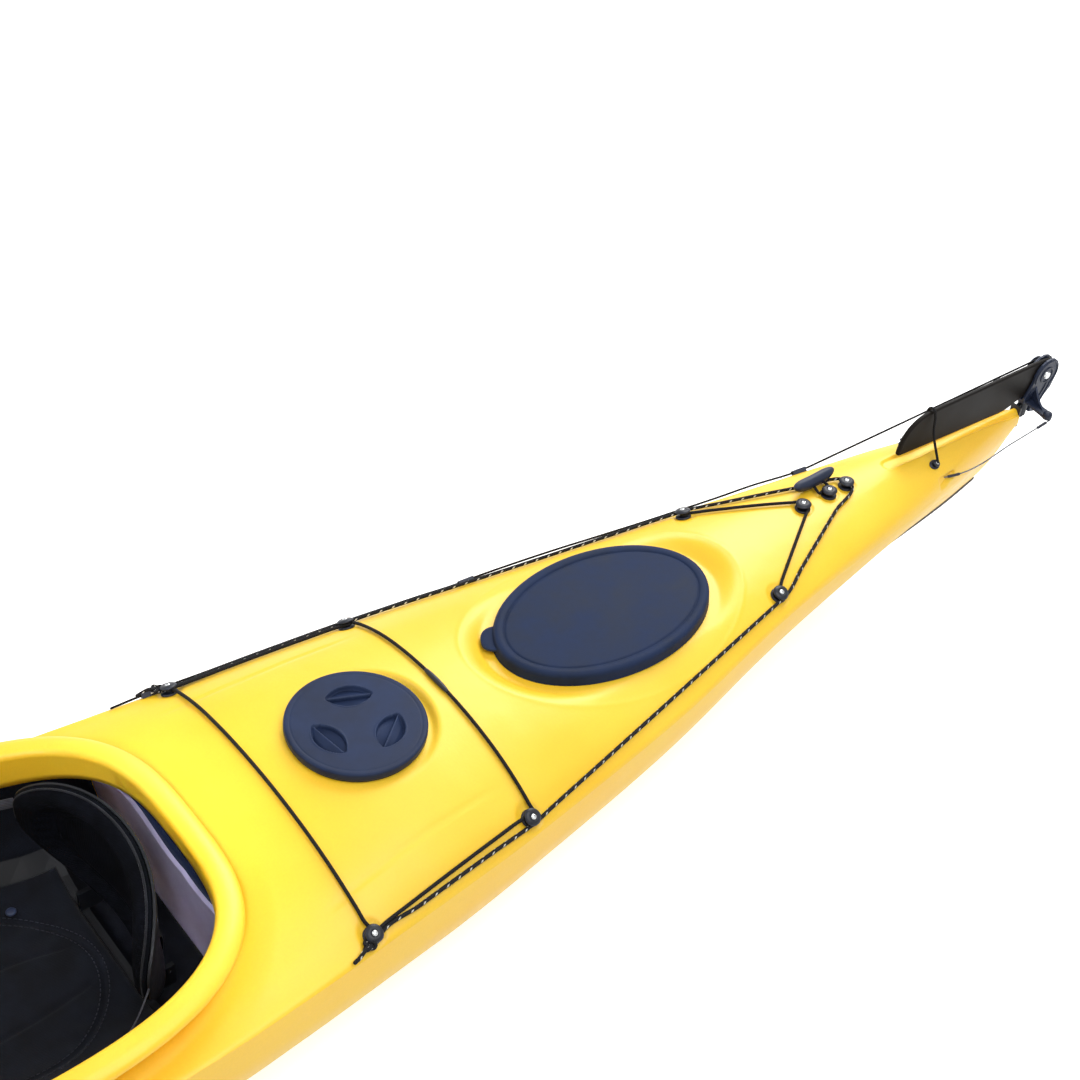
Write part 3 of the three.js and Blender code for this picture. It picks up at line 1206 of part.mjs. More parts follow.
// Seat pan: a dished sheet with raised sides, carried on two lengthwise skids
function makeSeat() {
  const s = seat;
  const w = seatShares;
  const rise = (u, v) => {
    const across = Math.abs(2 * v - 1);
    const hip = Math.exp(-(((u - w.hip) / w.hipSpread) ** 2)) * s.hipRise;
    const rear = s.rearRise * ease((w.rearRun - u) / w.rearRun);
    const front = s.frontRise * ease((u - w.frontFrom) / w.frontRun);
    return s.panZ + (s.sideRise + hip) * across ** 4 + (rear + front) * (1 - across ** 2);
  };
  const narrow = (u) => 1 - w.rearNarrow * ease((w.rearTaper - u) / w.rearTaper)
    - w.frontNarrow * ease((u - w.taperFrom) / w.frontTaper);
  const surface = (lift, half, inset) => (u, v) => vec(
    mix(s.rearX + inset, s.frontX - inset, u),
    (2 * v - 1) * half * narrow(u),
    rise(mix(inset / (s.frontX - s.rearX), 1 - inset / (s.frontX - s.rearX), u),
      0.5 + (v - 0.5) * half / s.halfWidth) + lift(u, v));
  const low = surface(() => 0, s.halfWidth, 0);
  const pan = solid(sheet(8, 10, surface(() => s.thick, s.halfWidth, 0), low));
  const floor = (u, v) => low(u, v).setZ(-overrun);
  const under = solid(sheet(8, 10, surface(() => s.thick / 2, s.halfWidth, 0), floor));
  let body = pan;
  for (const side of [1, -1]) {
    const skidLong = s.frontX - s.rearX - 2 * s.skidInset;
    const skidBlock = new THREE.BoxGeometry(skidLong, s.skidWide, s.panZ + s.sideRise);
    skidBlock.translate((s.frontX + s.rearX) / 2, side * s.skidY, (s.panZ + s.sideRise) / 2);
    const ear = new THREE.BoxGeometry(s.earLong, s.earWide, back.hingeZ + s.earReach - s.earFootZ);
    const earZ = (back.hingeZ + s.earReach + s.earFootZ) / 2;
    ear.translate(back.hingeX - s.earReach + s.earLong / 2, side * s.earY, earZ);
    const bore = cylinderAlong("y", back.pinRadius + s.boreGap, overrun, 12);
    bore.translate(back.hingeX, side * s.earY, back.hingeZ);
    body = body.add(solid(skidBlock).intersect(under)).add(solid(ear)).subtract(solid(bore));
  }
  addPiece("seat_pan", largestPart(body.intersect(cavity(fitGap))), "plastic");

  const sunk = s.thick - s.padSunk;
  const soft = (u, v) => Math.sin(Math.PI * clamp01(u)) ** 0.35 * Math.sin(Math.PI * clamp01(v)) ** 0.35;
  const swell = s.padThick - s.padLift + s.crown;
  const padTop = surface((u, v) => s.thick + s.padLift + swell * soft(u, v), s.padHalfWidth, s.padInset);
  const pad = solid(sheet(10, 10, padTop, surface(() => sunk, s.padHalfWidth, s.padInset)));
  addPiece("seat_pad", largestPart(pad.subtract(pan.translate([0, 0, fitGap]))), "fabric");
}

// Backrest: a kidney shaped shell curved round the paddler, with a padded face
function backPoint(u, v, front) {
  const b = back;
  const side = 2 * u - 1;
  const angle = side * b.spread;
  const low = b.lowZ + b.wingLift * side * side;
  const high = b.highZ - b.wingDrop * Math.abs(side) ** 3;
  const radius = b.radius - front;
  return vec(b.centreX + b.radius - radius * Math.cos(angle), radius * Math.sin(angle), mix(low, high, v));
}

function makeBackrest() {
  const b = back;
  const w = backShares;
  const within = (t) => mix(w.margin, 1 - w.margin, t);
  const grow = (u, v, amount) => backPoint(within(u), within(v), amount);
  const shell = solid(sheet(8, 4, (u, v) => backPoint(u, v, b.shellThick), (u, v) => backPoint(u, v, 0)));
  let body = shell;
  for (const side of [1, -1]) {
    const lug = new THREE.BoxGeometry(b.lugLong, b.lugWide, b.lugHigh);
    lug.translate(b.hingeX, side * b.lugY, b.hingeZ + b.lugLift);
    const riser = new THREE.BoxGeometry(b.riserLong, b.lugWide, b.riserHigh);
    riser.translate(b.hingeX - b.riserBack, side * b.lugY, b.hingeZ + b.riserHigh / 2);
    const pin = cylinderAlong("y", b.pinRadius, b.lugWide + b.pinSpare, 12);
    pin.translate(b.hingeX, side * (b.lugY + b.pinOut), b.hingeZ);
    body = body.add(solid(lug)).add(solid(riser)).add(solid(pin));
  }
  addPiece("backrest_shell", largestPart(body), "plastic");
  const swell = (u, v) => {
    const edge = Math.max(Math.abs(2 * u - 1), Math.abs(2 * v - 1));
    const roll = Math.sqrt(clamp01(1 - Math.max(0, (edge - w.rollFrom) / w.rollRun) ** 2));
    const dish = ease((w.dishFrom - edge) / w.dishRun);
    return b.shellThick + b.padGap + b.padThick * mix(w.least, 1, roll) - b.rimSwell * dish;
  };
  const pad = solid(sheet(12, 8, (u, v) => grow(u, v, swell(u, v)), (u, v) => grow(u, v, b.padSunk)));
  addPiece("backrest_pad", largestPart(pad.subtract(body.translate([fitGap, 0, 0]))), "fabric");
  for (const [side, label] of [[1, "port"], [-1, "starboard"]]) {
    const along = vec(Math.sin(b.spread), side * Math.cos(b.spread), 0);
    const tip = backPoint(side > 0 ? 1 : 0, strapHeightShare, b.shellThick / 2);
    const anchor = vec(backStrap.anchorX, side * backStrap.anchorY, backStrap.anchorZ);
    const start = tip.clone().addScaledVector(along, backStrap.startGap);
    const middle = start.clone().lerp(anchor, 0.5).add(vec(0, side * backStrap.sagOut, -backStrap.sagDrop));
    const strap = roundTube([start, middle, anchor], backStrap.radius, cordSides);
    addPiece(`backrest_strap_${label}`, strap, "fabric");
  }
}

// Foot rails on the hull sides with sliding pedals
function railFrame(side) {
  const yAt = (x) => hullY(x, rail.z) - wall - rail.inFrom;
  const angle = Math.atan((yAt(rail.fromX) - yAt(rail.toX)) / (rail.toX - rail.fromX));
  const middle = (rail.fromX + rail.toX) / 2;
  const matrix = new THREE.Matrix4().makeRotationZ(-side * angle);
  matrix.setPosition(middle, side * yAt(middle), rail.z);
  return { matrix, angle };
}

function makeFootrests() {
  const room = cavity(fitGap);
  const long = rail.toX - rail.fromX;
  for (const [side, label] of [[1, "port"], [-1, "starboard"]]) {
    const { matrix } = railFrame(side);
    const put = (geometry) => solid(geometry.applyMatrix4(matrix));
    let body = put(new THREE.BoxGeometry(long, rail.deep, rail.high));
    const slot = new THREE.BoxGeometry(long - 2 * rail.slotEnd, rail.deep, rail.slot);
    slot.translate(0, -side * rail.lip, 0);
    body = body.subtract(put(slot));
    for (const end of [1, -1]) {
      const boss = new THREE.BoxGeometry(rail.bossLong, 4 * rail.inFrom, rail.high);
      const bossY = 2 * rail.inFrom + rail.deep / 2 - rail.bossSunk;
      boss.translate(end * (long - rail.bossLong) / 2, side * bossY, 0);
      body = body.add(put(boss));
    }
    addPiece(`foot_rail_${label}`, largestPart(body.intersect(room)), "plastic");

    const p = pedal;
    const at = p.at - (rail.fromX + rail.toX) / 2;
    const inner = rail.deep / 2 + p.inner;
    const block = (size, [x, y, z]) => put(new THREE.BoxGeometry(...size).translate(at + x, -side * y, z));
    const run = rail.slot - p.runnerGap;
    const arm = new THREE.BoxGeometry(p.padThick, p.padWide, p.padHigh).rotateY(p.lean);
    arm.translate(at, -side * (inner + p.padOut + p.padWide / 2), p.padHigh / 2 - p.padDrop);
    const runnerDeep = rail.deep - rail.lip - p.runnerGap;
    const pedalBody = block([p.runnerLong, runnerDeep, run], [0, rail.lip / 2 + p.runnerOut, 0])
      .add(block([p.runnerLong, p.bridgeThick, run], [0, inner - p.bridgeIn, 0]))
      .add(block([p.runnerLong, p.keeperThick, rail.high], [0, inner + p.keeperThick / 2, 0]))
      .add(put(arm)).add(block([p.ribLong, p.ribThick, p.armHigh], [p.ribAhead, inner + p.padWide / 2, 0]));
    addPiece(`pedal_${label}`, largestPart(pedalBody), "plastic");
  }
}

// Carry toggle on the cord loop that holds it beside a deck fitting
function makeToggle(name, fittingName, side) {
  const t = toggle;
  const x = fittingPlaces[fittingName][0] + t.ahead;
  const y = side * t.aside;
  const z = deckZ(x, y) + t.lift;
  const end = toggleShares.map(([along, out]) => [out * t.radius, along * t.length / 2]);
  const mirror = end.map(([radius, along]) => [radius, -along]);
  const grip = turned([...mirror, [t.waist, 0], ...end.reverse()], 12);
  grip.rotateY(Math.PI / 2);
  grip.translate(x, y, z);
  const anchor = fittingSeat(...fittingPlaces[fittingName]);
  const neckSide = fitting.neck + t.cordRadius + lineRoom;
  const high = fitting.baseHigh + t.cordRadius + t.cordRise;
  const fromFitting = (along, out, rise) => (
    vec(along, side * out, rise).applyQuaternion(anchor.turn).add(anchor.foot));
  const loop = [
    fromFitting(-t.besideReach, neckSide, high), fromFitting(0, neckSide, high),
    fromFitting(t.besideReach, neckSide, high), fromFitting(t.clearAhead, t.clearAside, high + t.cordRise),
    vec(x - t.cordBack, y - side * (t.waist - t.cordIn), z),
  ];
  addPiece(`${name}_toggle`, solid(grip).add(solid(roundTube(loop, t.cordRadius, cordSides))), "plastic");
}

makeHull();
makeDeck();
makeCoaming();
makeBulkheads();
makeCableTubes();
makeSkid();
makeOvalHatch("stern", sternHatch, 1);
makeOvalHatch("bow", bowHatch, -1);
makeDayHatch();
makeFittings();
makeGuides();
makeLines();
makeHaulLine();
makeRudder();
makeBracket();
makeRudderCables();
makeHoldDown();
makeSeat();
makeBackrest();
makeFootrests();
makeToggle("stern", "deck_fitting_toggle_front", -1);
makeToggle("bow", "deck_fitting_bow", 1);

export default group;
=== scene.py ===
# Touring sea kayak with a folding rudder, dressed over its CAD frame.
# Shapes are worked out in millimetres and put into the meshes in metres.
import math
import bpy
import mathutils
import numpy as np
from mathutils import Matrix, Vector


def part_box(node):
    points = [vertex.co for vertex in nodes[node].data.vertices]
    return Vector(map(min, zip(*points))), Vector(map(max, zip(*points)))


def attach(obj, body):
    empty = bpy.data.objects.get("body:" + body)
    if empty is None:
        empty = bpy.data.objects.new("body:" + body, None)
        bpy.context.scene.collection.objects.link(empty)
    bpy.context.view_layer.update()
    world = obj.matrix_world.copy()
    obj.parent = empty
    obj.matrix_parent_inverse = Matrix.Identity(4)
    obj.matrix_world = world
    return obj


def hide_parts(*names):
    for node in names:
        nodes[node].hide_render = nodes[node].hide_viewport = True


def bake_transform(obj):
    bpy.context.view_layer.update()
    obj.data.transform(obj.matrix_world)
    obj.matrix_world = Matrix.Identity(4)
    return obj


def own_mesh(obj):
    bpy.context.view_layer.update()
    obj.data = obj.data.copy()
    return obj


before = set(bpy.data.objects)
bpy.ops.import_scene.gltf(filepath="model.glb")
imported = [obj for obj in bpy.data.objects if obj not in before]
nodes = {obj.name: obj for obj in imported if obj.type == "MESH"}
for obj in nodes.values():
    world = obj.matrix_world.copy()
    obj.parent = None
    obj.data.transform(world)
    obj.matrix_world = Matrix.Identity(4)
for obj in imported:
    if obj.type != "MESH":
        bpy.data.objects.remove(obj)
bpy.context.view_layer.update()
print("frame loaded,", len(nodes), "nodes")


# Small helpers

def mix(a, b, t):
    return a + (b - a) * t


def smooth(t):
    # 0 below 0, 1 above 1, an even s curve between
    t = np.clip(t, 0.0, 1.0)
    return t * t * (3.0 - 2.0 * t)


def unit(v):
    return v / np.maximum(np.linalg.norm(v, axis=-1, keepdims=True), 1e-9)


def linearOf(hexText):
    # sRGB hex to the linear colour that the shaders take
    values = np.array([int(hexText[i:i + 2], 16) / 255 for i in (0, 2, 4)])
    linear = np.where(values <= 0.04045, values / 12.92, ((values + 0.055) / 1.055) ** 2.4)
    return (*[float(v) for v in linear], 1.0)


def addPiece(name, points, faces, body, look, sharp=None):
    # a smooth shaded mesh from points in millimetres; where no body is given, the caller says what it follows
    mesh = bpy.data.meshes.new(name)
    faces = faces.tolist() if isinstance(faces, np.ndarray) else faces
    mesh.from_pydata((np.asarray(points, float) / 1000).tolist(), [], faces)
    mesh.update()
    mesh.polygons.foreach_set("use_smooth", np.ones(len(mesh.polygons), bool))
    if sharp:
        mesh.set_sharp_from_angle(angle=math.radians(sharp))
    piece = bpy.data.objects.new(name, mesh)
    bpy.context.scene.collection.objects.link(piece)
    mesh.materials.append(look)
    if body:
        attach(piece, body)
    return piece


def gridFaces(rows, columns, loopRows=False, loopColumns=False, start=0):
    # quads of a grid whose points are numbered row by row
    down, across = rows - (not loopRows), columns - (not loopColumns)
    i, j = np.meshgrid(np.arange(down), np.arange(across), indexing="ij")
    nextI = (i + 1) % rows
    nextJ = (j + 1) % columns
    quads = np.stack([i * columns + j, nextI * columns + j, nextI * columns + nextJ, i * columns + nextJ], -1)
    return start + quads.reshape(-1, 4)


def loftMesh(rings, tips=None, flip=False):
    # rings of equal length joined in order, closed by a fan on each tip given, or without tips by flat ends
    grid = np.asarray(rings, float)
    n, m = grid.shape[:2]
    points = list(grid.reshape(-1, 3))
    faces = gridFaces(n, m, loopColumns=True).tolist()
    first, last = list(range(m)), list(range(n * m - 1, (n - 1) * m - 1, -1))
    if tips is None:
        faces += [first, last]
    else:
        for ring, tip in zip((first, last), tips):
            if tip is not None:
                points.append(np.asarray(tip, float))
                faces += [[a, b, len(points) - 1] for a, b in zip(ring, ring[1:] + ring[:1])]
    return np.array(points), [face[::-1] for face in faces] if flip else faces


def slabMesh(top, low):
    # two grids of one size, the first one facing outward, joined along their border
    n, m = top.shape[:2]
    ring = np.concatenate([np.arange(m), np.arange(1, n) * m + m - 1, (n - 1) * m + np.arange(m - 2, -1, -1),
                           np.arange(n - 2, 0, -1) * m])
    after = np.roll(ring, -1)
    sides = np.stack([after, after + n * m, ring + n * m, ring], -1)
    faces = np.vstack([gridFaces(n, m), gridFaces(n, m, start=n * m)[:, ::-1], sides])
    return np.vstack([top.reshape(-1, 3), low.reshape(-1, 3)]), faces


def runOf(path):
    # the length walked along the path at each of its points
    return np.concatenate([[0], np.cumsum(np.linalg.norm(np.diff(path, axis=0), axis=1))])


def hermite(a, b, slopeA, slopeB, t):
    return (a * (2 * t ** 3 - 3 * t ** 2 + 1) + b * (3 * t ** 2 - 2 * t ** 3)
            + slopeA * (t ** 3 - 2 * t ** 2 + t) + slopeB * (t ** 3 - t ** 2))


def throughPoints(points, step, closed=False):
    # Catmull-Rom curve through the points by their chord lengths, read at even steps of its length
    p = np.asarray(points, float)
    if closed:
        p = np.vstack([p, p[:1]])
    lengths = runOf(p)
    gaps = np.diff(lengths)
    slopes = np.diff(p, axis=0) / gaps[:, None]
    inner = (slopes[:-1] * gaps[1:, None] + slopes[1:] * gaps[:-1, None]) / (gaps[1:] + gaps[:-1])[:, None]
    if closed:
        ends = (slopes[-1] * gaps[0] + slopes[0] * gaps[-1]) / (gaps[0] + gaps[-1])
        tangents = np.vstack([ends, inner, ends])
    else:
        tangents = np.vstack([slopes[0], inner, slopes[-1]])
    wanted = np.linspace(0, lengths[-1], max(int(round(lengths[-1] / step)), 2) * 2 + 1)
    i = np.clip(np.searchsorted(lengths, wanted, side="right") - 1, 0, len(gaps) - 1)
    t = ((wanted - lengths[i]) / gaps[i])[:, None]
    g = gaps[i][:, None]
    curve = hermite(p[i], p[i + 1], g * tangents[i], g * tangents[i + 1], t)
    run = runOf(curve)
    even = np.linspace(0, run[-1], max(int(round(run[-1] / step)), 2) + 1)
    out = np.stack([np.interp(even, run, curve[:, k]) for k in range(3)], -1)
    return out[:-1] if closed else out


def sweepRings(path, shape, closed=False, upward=(0, 0, 1)):
    # a flat shape (sideways, upward) is carried along the path and kept square to it
    path = np.asarray(path, float)
    if closed:
        along = unit(np.roll(path, -1, axis=0) - np.roll(path, 1, axis=0))
    else:
        along = unit(np.gradient(path, axis=0))
    side = unit(np.cross(np.broadcast_to(np.asarray(upward, float), along.shape), along))
    over = np.cross(along, side)
    shape = np.asarray(shape, float)
    if shape.ndim == 2:
        shape = np.broadcast_to(shape, (len(path), *shape.shape))
    return path[:, None, :] + shape[..., :1] * side[:, None, :] + shape[..., 1:] * over[:, None, :]


def circle(radius, sides):
    a = np.arange(sides) * 2 * math.pi / sides
    return np.stack([radius * np.cos(a), radius * np.sin(a)], -1)


def tubePiece(name, path, radius, body, look, sides=14, upward=(0, 0, 1)):
    # a round section carried along the path, closed by small domes; u runs round it and v along it in metres
    path = np.asarray(path, float)
    radii = np.full(len(path), float(radius)) if np.ndim(radius) == 0 else np.asarray(radius, float)
    first, last = unit(path[0] - path[1]), unit(path[-1] - path[-2])
    caps = np.array([0.35, 0.75, 0.97])
    rise = np.sqrt(1 - caps ** 2)
    path = np.vstack([path[0] + first * radii[0] * caps[::-1, None] * 0.9, path,
                      path[-1] + last * radii[-1] * caps[:, None] * 0.9])
    radii = np.concatenate([radii[0] * rise[::-1], radii, radii[-1] * rise])
    rings = sweepRings(path, circle(1, sides)[None] * radii[:, None, None], upward=upward)
    piece = addPiece(name, *loftMesh(rings, [rings[0].mean(0), rings[-1].mean(0)], True), body, look)
    run = runOf(path) / 1000
    i, j = np.meshgrid(np.arange(len(path) - 1), np.arange(sides), indexing="ij")
    u = np.stack([j, j, j + 1, j + 1], -1) / sides
    v = np.stack([run[i], run[i + 1], run[i + 1], run[i]], -1)
    uv = np.zeros((len(piece.data.loops), 2))
    uv[:4 * i.size] = np.stack([u, v], -1)[..., ::-1, :].reshape(-1, 2)
    piece.data.uv_layers.new(name="UVMap").data.foreach_set("uv", uv.reshape(-1))
    return piece


def turnedMesh(profile, sides):
    # a profile of (radius, height) turned round the upright axis, its ends closed on the axis
    (_, low), *walls, (_, high) = profile
    rings = [np.column_stack([circle(radius, sides), np.full(sides, height)]) for radius, height in walls]
    return loftMesh(rings, [(0, 0, low), (0, 0, high)], True)


def ringMesh(profile, sides):
    # a closed profile of (radius, height) turned round the upright axis
    rings = [np.column_stack([circle(radius, sides), np.full(sides, height)]) for radius, height in profile]
    return np.vstack(rings), gridFaces(len(rings), sides, loopRows=True, loopColumns=True)[:, ::-1]


def standOn(points, foot, normal, turn=0.0):
    # the upright axis is laid along the normal at the foot
    n = unit(np.asarray(normal, float))
    x = unit(np.cross(np.cross(n, (1.0, 0.0, 0.0)), n))
    y = np.cross(n, x)
    c, s = math.cos(turn), math.sin(turn)
    x, y = c * x + s * y, -s * x + c * y
    p = np.asarray(points, float)
    return np.asarray(foot, float) + p[:, :1] * x + p[:, 1:2] * y + p[:, 2:] * n


def roundedLoop(points, count, sharp=()):
    # closed Catmull-Rom through profile points, with the sharp ones kept as corners
    p = np.asarray(points, float)
    n = len(p)
    tangent = (np.roll(p, -1, axis=0) - np.roll(p, 1, axis=0)) / 2
    out = []
    for k in range(n):
        a, b = p[k], p[(k + 1) % n]
        ta = (b - a) if k in sharp else tangent[k]
        tb = (b - a) if (k + 1) % n in sharp else tangent[(k + 1) % n]
        limit = np.linalg.norm(b - a)
        ta = ta * min(1, limit / max(np.linalg.norm(ta), 1e-6))
        tb = tb * min(1, limit / max(np.linalg.norm(tb), 1e-6))
        t = (np.arange(count) / count)[:, None]
        out.append(hermite(a, b, ta, tb, t))
    return np.vstack(out)


# Materials

def addNode(tree, kind, settings=None, links=None, stops=None):
    # one node with its settings, by name or by input socket, its incoming links and its colour stops
    node = tree.nodes.new("ShaderNode" + kind)
    for key, value in (settings or {}).items():
        if isinstance(key, str) and hasattr(node, key):
            setattr(node, key, value)
        else:
            node.inputs[key].default_value = value
    for key, socket in (links or {}).items():
        tree.links.new(socket, node.inputs[key])
    if stops:
        ramp = node.color_ramp
        ramp.elements.remove(ramp.elements[-1])
        ramp.elements[0].position, ramp.elements[0].color = stops[0][0], linearOf(stops[0][1])
        for place, colour in stops[1:]:
            ramp.elements.new(place).color = linearOf(colour)
    return node


def grey(value):
    return (value, value, value, 1.0)


def newMaterial(name):
    look = bpy.data.materials.new(name)
    look.use_nodes = True
    tree = look.node_tree
    tree.nodes.clear()
    out = addNode(tree, "OutputMaterial")
    shader = addNode(tree, "BsdfPrincipled")
    tree.links.new(shader.outputs["BSDF"], out.inputs["Surface"])
    where = addNode(tree, "TexCoord")
    return look, tree, shader, where


def grainedMaterial(name, main, second, rough, grainMm, grainDepth, blotchMm=60, ior=1.5, metallic=0.0,
                    edge=None, gloss=0.5):
    # two near colours in slow blotches, an even fine grain as bump, and lighter edges where asked, worn on
    # some materials and a painted highlight on others
    look, tree, shader, where = newMaterial(name)
    at = where.outputs["Object"]
    blotch = addNode(tree, "TexNoise", {"Scale": 1000 / blotchMm, "Detail": 3.0, "Roughness": 0.55},
                     {"Vector": at})
    tones = addNode(tree, "ValToRGB", None, {"Fac": blotch.outputs["Fac"]},
                    [(0.3, main), (0.72, second)])
    colour = tones.outputs["Color"]
    if edge:
        point = addNode(tree, "NewGeometry")
        edgeWearAndHighlight = addNode(tree, "MapRange", {"From Min": 0.52, "From Max": 0.62, "To Min": 0.0, "To Max": 0.5},
                       {"Value": point.outputs["Pointiness"]})
        edged = addNode(tree, "Mix", {"data_type": "RGBA", 7: linearOf(edge)},
                        {0: edgeWearAndHighlight.outputs["Result"], 6: colour})
        colour = edged.outputs[2]
    tree.links.new(colour, shader.inputs["Base Color"])
    grain = addNode(tree, "TexNoise", {"Scale": 1000 / grainMm, "Detail": 2.0, "Roughness": 0.6},
                    {"Vector": at})
    bump = addNode(tree, "Bump", {"Strength": 1.0, "Distance": grainDepth / 1000},
                   {"Height": grain.outputs["Fac"]})
    tree.links.new(bump.outputs["Normal"], shader.inputs["Normal"])
    spread = addNode(tree, "MapRange", {"From Min": 0.3, "From Max": 0.7, "To Min": rough[0],
                                        "To Max": rough[1]}, {"Value": blotch.outputs["Fac"]})
    tree.links.new(spread.outputs["Result"], shader.inputs["Roughness"])
    shader.inputs["IOR"].default_value = ior
    shader.inputs["Metallic"].default_value = metallic
    shader.inputs["Specular IOR Level"].default_value = gloss
    return look


def makeShellMaterial():
    # rotomoulded polyethylene: waxy, semi gloss, with a faint orange peel and hair scuffs from handling
    look, tree, shader, where = newMaterial("rotomoulded polyethylene, yellow")
    at = where.outputs["Object"]
    cloud = addNode(tree, "TexNoise", {"Scale": 3.0, "Detail": 3.0, "Roughness": 0.5}, {"Vector": at})
    tones = addNode(tree, "ValToRGB", None, {"Fac": cloud.outputs["Fac"]},
                    [(0.3, "fdc726"), (0.55, "ffd034"), (0.78, "ffd642")])
    fleck = addNode(tree, "TexNoise", {"Scale": 320.0, "Detail": 2.0}, {"Vector": at})
    tint = addNode(tree, "Mix", {"data_type": "RGBA", "blend_type": "MULTIPLY", 0: 0.10},
                   {6: tones.outputs["Color"], 7: fleck.outputs["Fac"]})
    tree.links.new(tint.outputs[2], shader.inputs["Base Color"])
    stretched = addNode(tree, "Mapping", {"Scale": (3.0, 90.0, 90.0), "Rotation": (0.2, 0.3, 0.5)},
                        {"Vector": at})
    scuff = addNode(tree, "TexNoise", {"Scale": 4.0, "Detail": 4.0, "Roughness": 0.7},
                    {"Vector": stretched.outputs["Vector"]})
    scuffed = addNode(tree, "MapRange", {"From Min": 0.62, "From Max": 0.75, "To Min": 0.0, "To Max": 1.0},
                      {"Value": scuff.outputs["Fac"]})
    level = addNode(tree, "MapRange", {"From Min": 0.3, "From Max": 0.7, "To Min": 0.36, "To Max": 0.46},
                    {"Value": cloud.outputs["Fac"]})
    rough = addNode(tree, "Math", {"operation": "MULTIPLY_ADD", 1: 0.08},
                    {0: scuffed.outputs["Result"], 2: level.outputs["Result"]})
    tree.links.new(rough.outputs["Value"], shader.inputs["Roughness"])
    peel = addNode(tree, "TexNoise", {"Scale": 210.0, "Detail": 2.0}, {"Vector": at})
    wave = addNode(tree, "TexNoise", {"Scale": 16.0, "Detail": 1.0}, {"Vector": at})
    long = addNode(tree, "Bump", {"Strength": 0.7, "Distance": 0.0022}, {"Height": wave.outputs["Fac"]})
    bump = addNode(tree, "Bump", {"Strength": 0.5, "Distance": 0.00025},
                   {"Height": peel.outputs["Fac"], "Normal": long.outputs["Normal"]})
    tree.links.new(bump.outputs["Normal"], shader.inputs["Normal"])
    shader.inputs["IOR"].default_value = 1.51
    shader.inputs["Subsurface Weight"].default_value = 0.12  # light sinks a few millimetres into the plastic
    shader.inputs["Subsurface Radius"].default_value = (0.006, 0.004, 0.001)
    shader.inputs["Subsurface Scale"].default_value = 1.0
    return look


def makeCordMaterial(name, main, second, flecks):
    # braided polyester sheath: slanting strands, and on the perimeter line white tracer flecks
    look, tree, shader, where = newMaterial(name)
    uv = addNode(tree, "SeparateXYZ", None, {"Vector": where.outputs["UV"]})
    waves = []
    for slant in (1, -1):  # strands of a real sheath are 1 mm wide, drawn 2 mm so that they show
        lean = addNode(tree, "Math", {"operation": "MULTIPLY", 1: float(4 * slant)}, {0: uv.outputs["X"]})
        along = addNode(tree, "Math", {"operation": "MULTIPLY_ADD", 1: 250.0},
                        {0: uv.outputs["Y"], 2: lean.outputs["Value"]})
        turn = addNode(tree, "Math", {"operation": "MULTIPLY", 1: 2 * math.pi}, {0: along.outputs["Value"]})
        waves.append(addNode(tree, "Math", {"operation": "SINE"}, {0: turn.outputs["Value"]}))
    strands = addNode(tree, "Math", {"operation": "MAXIMUM"},
                      {0: waves[0].outputs["Value"], 1: waves[1].outputs["Value"]})
    tones = addNode(tree, "ValToRGB", None, {"Fac": strands.outputs["Value"]},
                    [(0.0, main), (1.0, second)])
    colour = tones.outputs["Color"]
    if flecks:
        period = addNode(tree, "Math", {"operation": "MULTIPLY", 1: 1000 / flecks["everyMm"]},
                         {0: uv.outputs["Y"]})
        turned = addNode(tree, "Math", {"operation": "ADD"}, {0: period.outputs["Value"], 1: uv.outputs["X"]})
        place = addNode(tree, "Math", {"operation": "FRACT"}, {0: turned.outputs["Value"]})
        share = flecks["longMm"] / flecks["everyMm"]
        mark = addNode(tree, "Math", {"operation": "LESS_THAN", 1: share}, {0: place.outputs["Value"]})
        tripled = addNode(tree, "Math", {"operation": "MULTIPLY", 1: 3.0}, {0: uv.outputs["X"]})
        part = addNode(tree, "Math", {"operation": "FRACT"}, {0: tripled.outputs["Value"]})
        narrow = addNode(tree, "Math", {"operation": "LESS_THAN", 1: 0.45}, {0: part.outputs["Value"]})
        both = addNode(tree, "Math", {"operation": "MULTIPLY"},
                       {0: mark.outputs["Value"], 1: narrow.outputs["Value"]})
        white = addNode(tree, "Mix", {"data_type": "RGBA", 7: linearOf("d9d6cc")},
                        {0: both.outputs["Value"], 6: colour})
        colour = white.outputs[2]
    tree.links.new(colour, shader.inputs["Base Color"])
    bump = addNode(tree, "Bump", {"Strength": 0.8, "Distance": 0.0004}, {"Height": strands.outputs["Value"]})
    tree.links.new(bump.outputs["Normal"], shader.inputs["Normal"])
    shader.inputs["Roughness"].default_value = 0.72
    shader.inputs["Specular IOR Level"].default_value = 0.2
    return look


